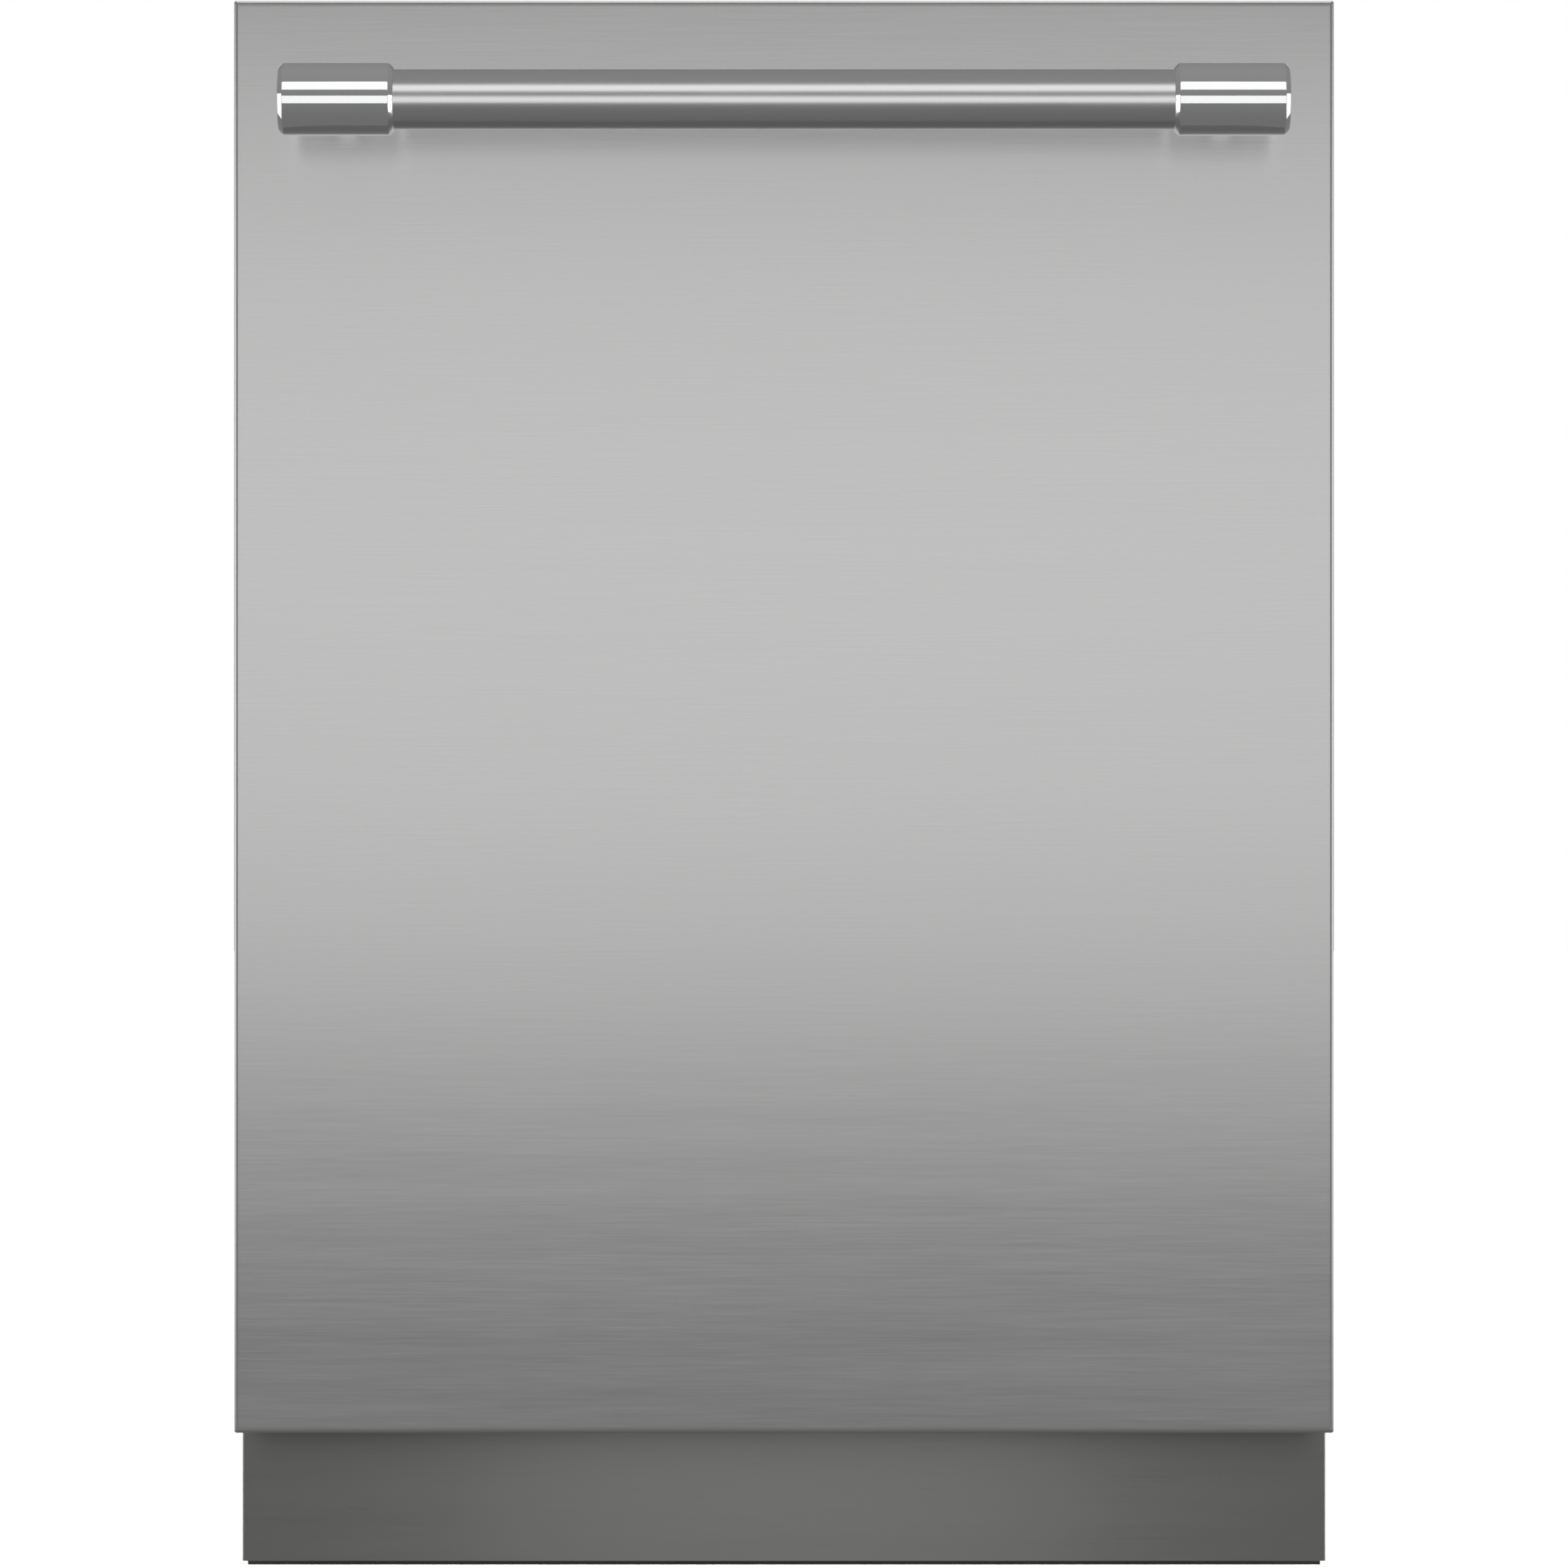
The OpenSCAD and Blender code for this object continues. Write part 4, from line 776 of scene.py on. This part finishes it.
shelf_z = shelf_lo.z + wire_r
shelf_x = shelf_hi.x - wire_r
runner_lo, runner_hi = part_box("middle_runners")
member_z = (runner_lo.z + 2.5 * MM, runner_hi.z - 2.5 * MM)
bm = bmesh.new()
for sign in (-1, 1):
    x0, x1 = sorted((sign * (upper_wall + 0.4 * MM), sign * up_hi.x))
    block(bm, (x0, rack_y0 + 4 * MM, member_z[0]), (x1, rack_y1, member_z[1]), 1.2 * MM)
members = piece_from("upper_rack_members", bm, rail_steel, "upper_basket")
sharpen(members)
bm = bmesh.new()
for sign in (-1, 1):
    for y in (rack_y0 + shelf_inset, rack_y1 - shelf_inset):
        for level in (-1, 1):
            z0 = shelf_z + (2.2 * MM if level > 0 else -5 * MM)
            x0, x1 = sorted((sign * (shelf_x - 6 * MM), sign * upper_wall))
            block(bm, (x0, y - 3 * MM, z0), (x1, y + 3 * MM, z0 + (4.8 if level > 0 else 2.8) * MM),
                  0.6 * MM)
        x0, x1 = sorted((sign * (shelf_x + 2.2 * MM), sign * upper_wall))
        block(bm, (x0, y - 3 * MM, shelf_z - 5 * MM), (x1, y + 3 * MM, shelf_z + 7 * MM), 0.6 * MM)
hooks = piece_from("shelf_bearings", bm, grey_plastic, "upper_basket")
sharpen(hooks)

for side, sign in (("left", -1), ("right", 1)):
    bm = bmesh.new()
    y0, y1 = rack_y0 + shelf_inset, rack_y1 - shelf_inset
    straight(bm, (sign * shelf_x, y0 - 7 * MM, shelf_z), (sign * shelf_x, y1 + 7 * MM, shelf_z))
    for y in spaced(y0 + 16 * MM, y1 - 16 * MM, 30 * MM):
        straight(bm, (sign * (shelf_x - shelf_reach), y, shelf_z), (sign * shelf_x, y, shelf_z))
    for share in (0.35, 1):
        x = sign * (shelf_x - share * shelf_reach)
        straight(bm, (x, y0 + 15 * MM, shelf_z + weld_step), (x, y1 - 15 * MM, shelf_z + weld_step))
    shelf = piece_from(f"cup_shelf_wires_{side}", bm, rack_nylon, side + "_shelf")
    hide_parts("cup_shelf_" + side)
print("upper rack", len(upper_rack.data.polygons), "faces")

# %% [markdown]
# ## Softened edges for folded, moulded and cast parts
# No real edge is perfectly sharp: a fold has a radius, a moulding has a draft and a fillet, a
# mat has a crushed rim. These small roundings catch the light, and they tell the eye how big a
# thing is. A bevel modifier on each part would do, but the frame's own meshes must stay as they
# are. So each part is copied, its flat faces are merged, and the copy's edges are bevelled. The
# bevels would drag the shading of the flats beside them, so normals are weighted by face area.

# %% Copy parts with soft edges
flat_within = math.radians(0.6)
volume_slack = 0.06
def softened(node, width, degrees=35, segments=2):
    """A copy of a part with its sharp edges rounded, or None where the mesh can't take it."""
    source = nodes[node]
    bm = bmesh.new()
    bm.from_mesh(source.data)
    bmesh.ops.remove_doubles(bm, verts=bm.verts, dist=1e-6)
    before = bm.calc_volume(signed=True)
    bmesh.ops.dissolve_limit(bm, angle_limit=flat_within, verts=bm.verts, edges=bm.edges)
    sharp = [e for e in bm.edges if len(e.link_faces) == 2
             and e.calc_face_angle(0) > math.radians(degrees)]
    bmesh.ops.bevel(bm, geom=sharp, offset=width, segments=segments, profile=0.5,
                    affect="EDGES", clamp_overlap=True)
    bmesh.ops.triangulate(bm, faces=[f for f in bm.faces if len(f.verts) > 4])
    bmesh.ops.dissolve_degenerate(bm, edges=bm.edges, dist=1e-7)
    whole = all(len(e.link_faces) == 2 for e in bm.edges)
    after = bm.calc_volume(signed=True)
    if not whole or abs(after - before) > volume_slack * abs(before):
        bm.free()
        return None
    body = body_of(source)[0]
    piece = piece_from(node + "_soft", bm, source.data.materials[0], body)
    sharpen(piece, 32)
    even = piece.modifiers.new("even_shading", "WEIGHTED_NORMAL")
    even.weight = 100
    even.keep_sharp = True
    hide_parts(node)
    return piece


soft_edges = {
    0.0008: ["inner_door", "dispenser_body", "dispenser_lid", "rinse_aid_cap", "cutlery_tray",
             "water_tank", "inlet_valve", "base_pan"],
    0.0005: ["control_fascia", "button_power", "button_start", "button_program",
             "button_options", "display_window", "latch_body", "latch_hook", "rack_manifold",
             "feed_pipe", "levelling_feet", "circulation_pump", "drain_pump", "sump"],
    0.0003: ["side_panels", "back_panel", "worktop_brackets", "hinge_arms", "hinge_brackets",
             "outer_rails", "middle_runners", "junction_box", "latch_strike", "tub_flange",
             "tub", "tub_floor", "tub_back", "drain_outlet", "filter_cup", "door_screws"],
    0.0035: ["insulation_jacket", "door_insulation"],
    0.0012: ["tub_gasket", "bottom_seal"],
}
kept = []
for width, names in soft_edges.items():
    for node in names:
        if softened(node, width) is None and softened(node, width / 3) is None:
            kept.append(node)
print("softened", sum(map(len, soft_edges.values())) - len(kept), "parts; as they were:", kept)

# %% [markdown]
# ## The studio
# The floor is plain and pale, and a glossy surface doesn't mirror it. It rides on no body, so it
# isn't part of the machine.

# %% Lay the floor
bm = bmesh.new()
bmesh.ops.create_circle(bm, cap_ends=True, segments=96, radius=14)
mesh = bpy.data.meshes.new("studio_floor")
bm.to_mesh(mesh)
bm.free()
floor = bpy.data.objects.new("studio_floor", mesh)
bpy.context.scene.collection.objects.link(floor)
floor_finish, tree, shader = new_finish("floor_finish")
tone = noise_on(tree, 0.8, 2.0)
tree.links.new(blend_colours(tree, tone, (0.9, 0.9, 0.9), (0.93, 0.93, 0.93)),
               shader.inputs["Base Color"])
shader.inputs["Roughness"].default_value = 0.9
mesh.materials.append(floor_finish)
floor.visible_glossy = False
print("floor ready")

# %% [markdown]
# ## The lamps
# A soft box stands in front of the door and is mirrored in its steel as one wide glow. It is
# made as two lamps in one place: the handle throws a shadow from one and not from the other,
# so its shadow on the door stays soft and weak. Two long strips light only the handle, because
# a polished round bar needs a line of light to show its shape. Other lamps serve the kick
# plate, the sides, the top and the floor.

# %% Hang the lamps

def soft_box(name, place, target, width, height, power):
    """A rectangular lamp that faces a point and that the camera doesn't see."""
    data = bpy.data.lights.new(name, "AREA")
    data.shape = "RECTANGLE"
    data.size, data.size_y = width, height
    data.energy = power
    lamp = bpy.data.objects.new(name, data)
    bpy.context.scene.collection.objects.link(lamp)
    lamp.location = place
    lamp.rotation_euler = (Vector(target) - Vector(place)).to_track_quat("-Z", "Y").to_euler()
    lamp.visible_camera = False
    return lamp


def light_only(lamp, pieces, include=True):
    """Makes a lamp light only these pieces, or all but these."""
    group = bpy.data.collections.new(lamp.name + "_sees")
    for piece in pieces:
        group.objects.link(piece)
    lamp.light_linking.receiver_collection = group
    if not include:
        for item in group.collection_objects:
            item.light_linking.link_state = "EXCLUDE"


handle_pieces = [o for o in bpy.data.objects if o.name.startswith("handle_") and o.type == "MESH"]
door_y = panel_lo.y
box_size = (1.3, 0.77)
box_distance = 1.2
box_at = Vector((0, door_y - box_distance, 0.6))
door_box = soft_box("door_box", box_at, box_at + Vector((0, 1, 0)), *box_size, 1.42)
light_only(door_box, handle_pieces, include=False)
shade_box = soft_box("shade_box", box_at, box_at + Vector((0, 1, 0)), *box_size, 0.82)
light_only(shade_box, handle_pieces, include=False)
ignored = bpy.data.collections.new("ignored_by_door_box")
for piece in handle_pieces:
    ignored.objects.link(piece)
door_box.light_linking.blocker_collection = ignored
for item in ignored.collection_objects:
    item.light_linking.link_state = "EXCLUDE"
handle_at = Vector((0, bar_centre.y, bar_centre.z))


def strip_at(name, elevation, distance, length, height, power):
    """A long strip lamp at an elevation seen from the handle."""
    e = math.radians(elevation)
    place = handle_at + Vector((0, -math.cos(e), math.sin(e))) * distance
    lamp = soft_box(name, place, handle_at, length, height, power)
    light_only(lamp, handle_pieces)


strip_at("upper_strip", elevation=39.5, distance=2.0, length=3.0, height=0.96, power=7.8)
strip_at("front_strip", elevation=-5.5, distance=2.0, length=3.0, height=0.84, power=6.6)
kick_box = soft_box("kick_box", (0, door_y - box_distance, 0), (0, door_y, 0),
                    width=0.62, height=0.5, power=0.235)
light_only(kick_box, [kick])

for side, sign in (("left", -1), ("right", 1)):
    soft_box(side + "_box", (sign * 2.0, door_y - 0.3, 0.5), (0, door_y - 0.3, 0.5),
             width=1.8, height=1.2, power=6.5)
overhead = soft_box("overhead_box", (0, 0, 2.6), (0, 0, 0),
                    width=2.4, height=2.4, power=18.0)
light_only(overhead, handle_pieces, include=False)

floor_sun = bpy.data.lights.new("floor_light", "SUN")
floor_sun.energy = 4.0
floor_lamp = bpy.data.objects.new("floor_light", floor_sun)
bpy.context.scene.collection.objects.link(floor_lamp)
light_only(floor_lamp, [floor])
floor_sun.use_shadow = False

sun = bpy.data.lights.new("ceiling_light", "SUN")
sun.energy = 3.1
sun.angle = math.radians(50)
ceiling = bpy.data.objects.new("ceiling_light", sun)
ceiling.rotation_euler = (math.radians(12), math.radians(6), 0)
ceiling.visible_glossy = False
bpy.context.scene.collection.objects.link(ceiling)
print("lamps:", len(bpy.data.lights))

# %% [markdown]
# ## The surround
# Steel looks like what it mirrors. The surround is a grey that grows lighter upwards, as in a
# room, and only the camera itself sees plain white behind the machine.

# %% Paint the surround
world = bpy.data.worlds.new("studio")
bpy.context.scene.world = world
world.use_nodes = True
tree = world.node_tree
tree.nodes.clear()
place = tree.nodes.new("ShaderNodeTexCoord")
axes = tree.nodes.new("ShaderNodeSeparateXYZ")
tree.links.new(place.outputs["Generated"], axes.inputs["Vector"])
height = spread_over(tree, axes.outputs["Z"], 0, 1, -1, 1)
ramp = tree.nodes.new("ShaderNodeValToRGB")
below, above = 0.17, 0.28
for stop, place_on_ramp, grey in zip(ramp.color_ramp.elements, (0.0, 1.0), (below, above)):
    stop.position = place_on_ramp
    stop.color = (grey, grey, grey, 1)
tree.links.new(height, ramp.inputs["Fac"])
surround = tree.nodes.new("ShaderNodeBackground")
tree.links.new(ramp.outputs["Color"], surround.inputs["Color"])
backdrop = tree.nodes.new("ShaderNodeBackground")
backdrop.inputs["Color"].default_value = (1, 1, 1, 1)
path = tree.nodes.new("ShaderNodeLightPath")
pick = tree.nodes.new("ShaderNodeMixShader")
out = tree.nodes.new("ShaderNodeOutputWorld")
tree.links.new(path.outputs["Is Camera Ray"], pick.inputs["Fac"])
tree.links.new(surround.outputs["Background"], pick.inputs[1])
tree.links.new(backdrop.outputs["Background"], pick.inputs[2])
tree.links.new(pick.outputs["Shader"], out.inputs["Surface"])
print("surround grey", below, "below,", above, "above")

# %% [markdown]
# ## The camera
# The camera looks straight at the door from the height of its middle, through a long lens,
# which keeps the sides of the machine parallel.

# %% Set the camera
scene = bpy.context.scene
scene.view_settings.view_transform = "Standard"
scene.view_settings.look = "None"
camera_distance = 3.8
camera_height = 0.431
frame_width = 0.8523
sensor_width = 36
lens_data = bpy.data.cameras.new("camera")
lens_data.sensor_width = sensor_width
lens_data.lens = sensor_width * camera_distance / frame_width
camera = bpy.data.objects.new("camera", lens_data)
scene.collection.objects.link(camera)
camera.location = (0, door_y - camera_distance, camera_height)
camera.rotation_euler = (math.radians(90), 0, 0)
scene.camera = camera
print("lens", round(lens_data.lens, 1), "mm")
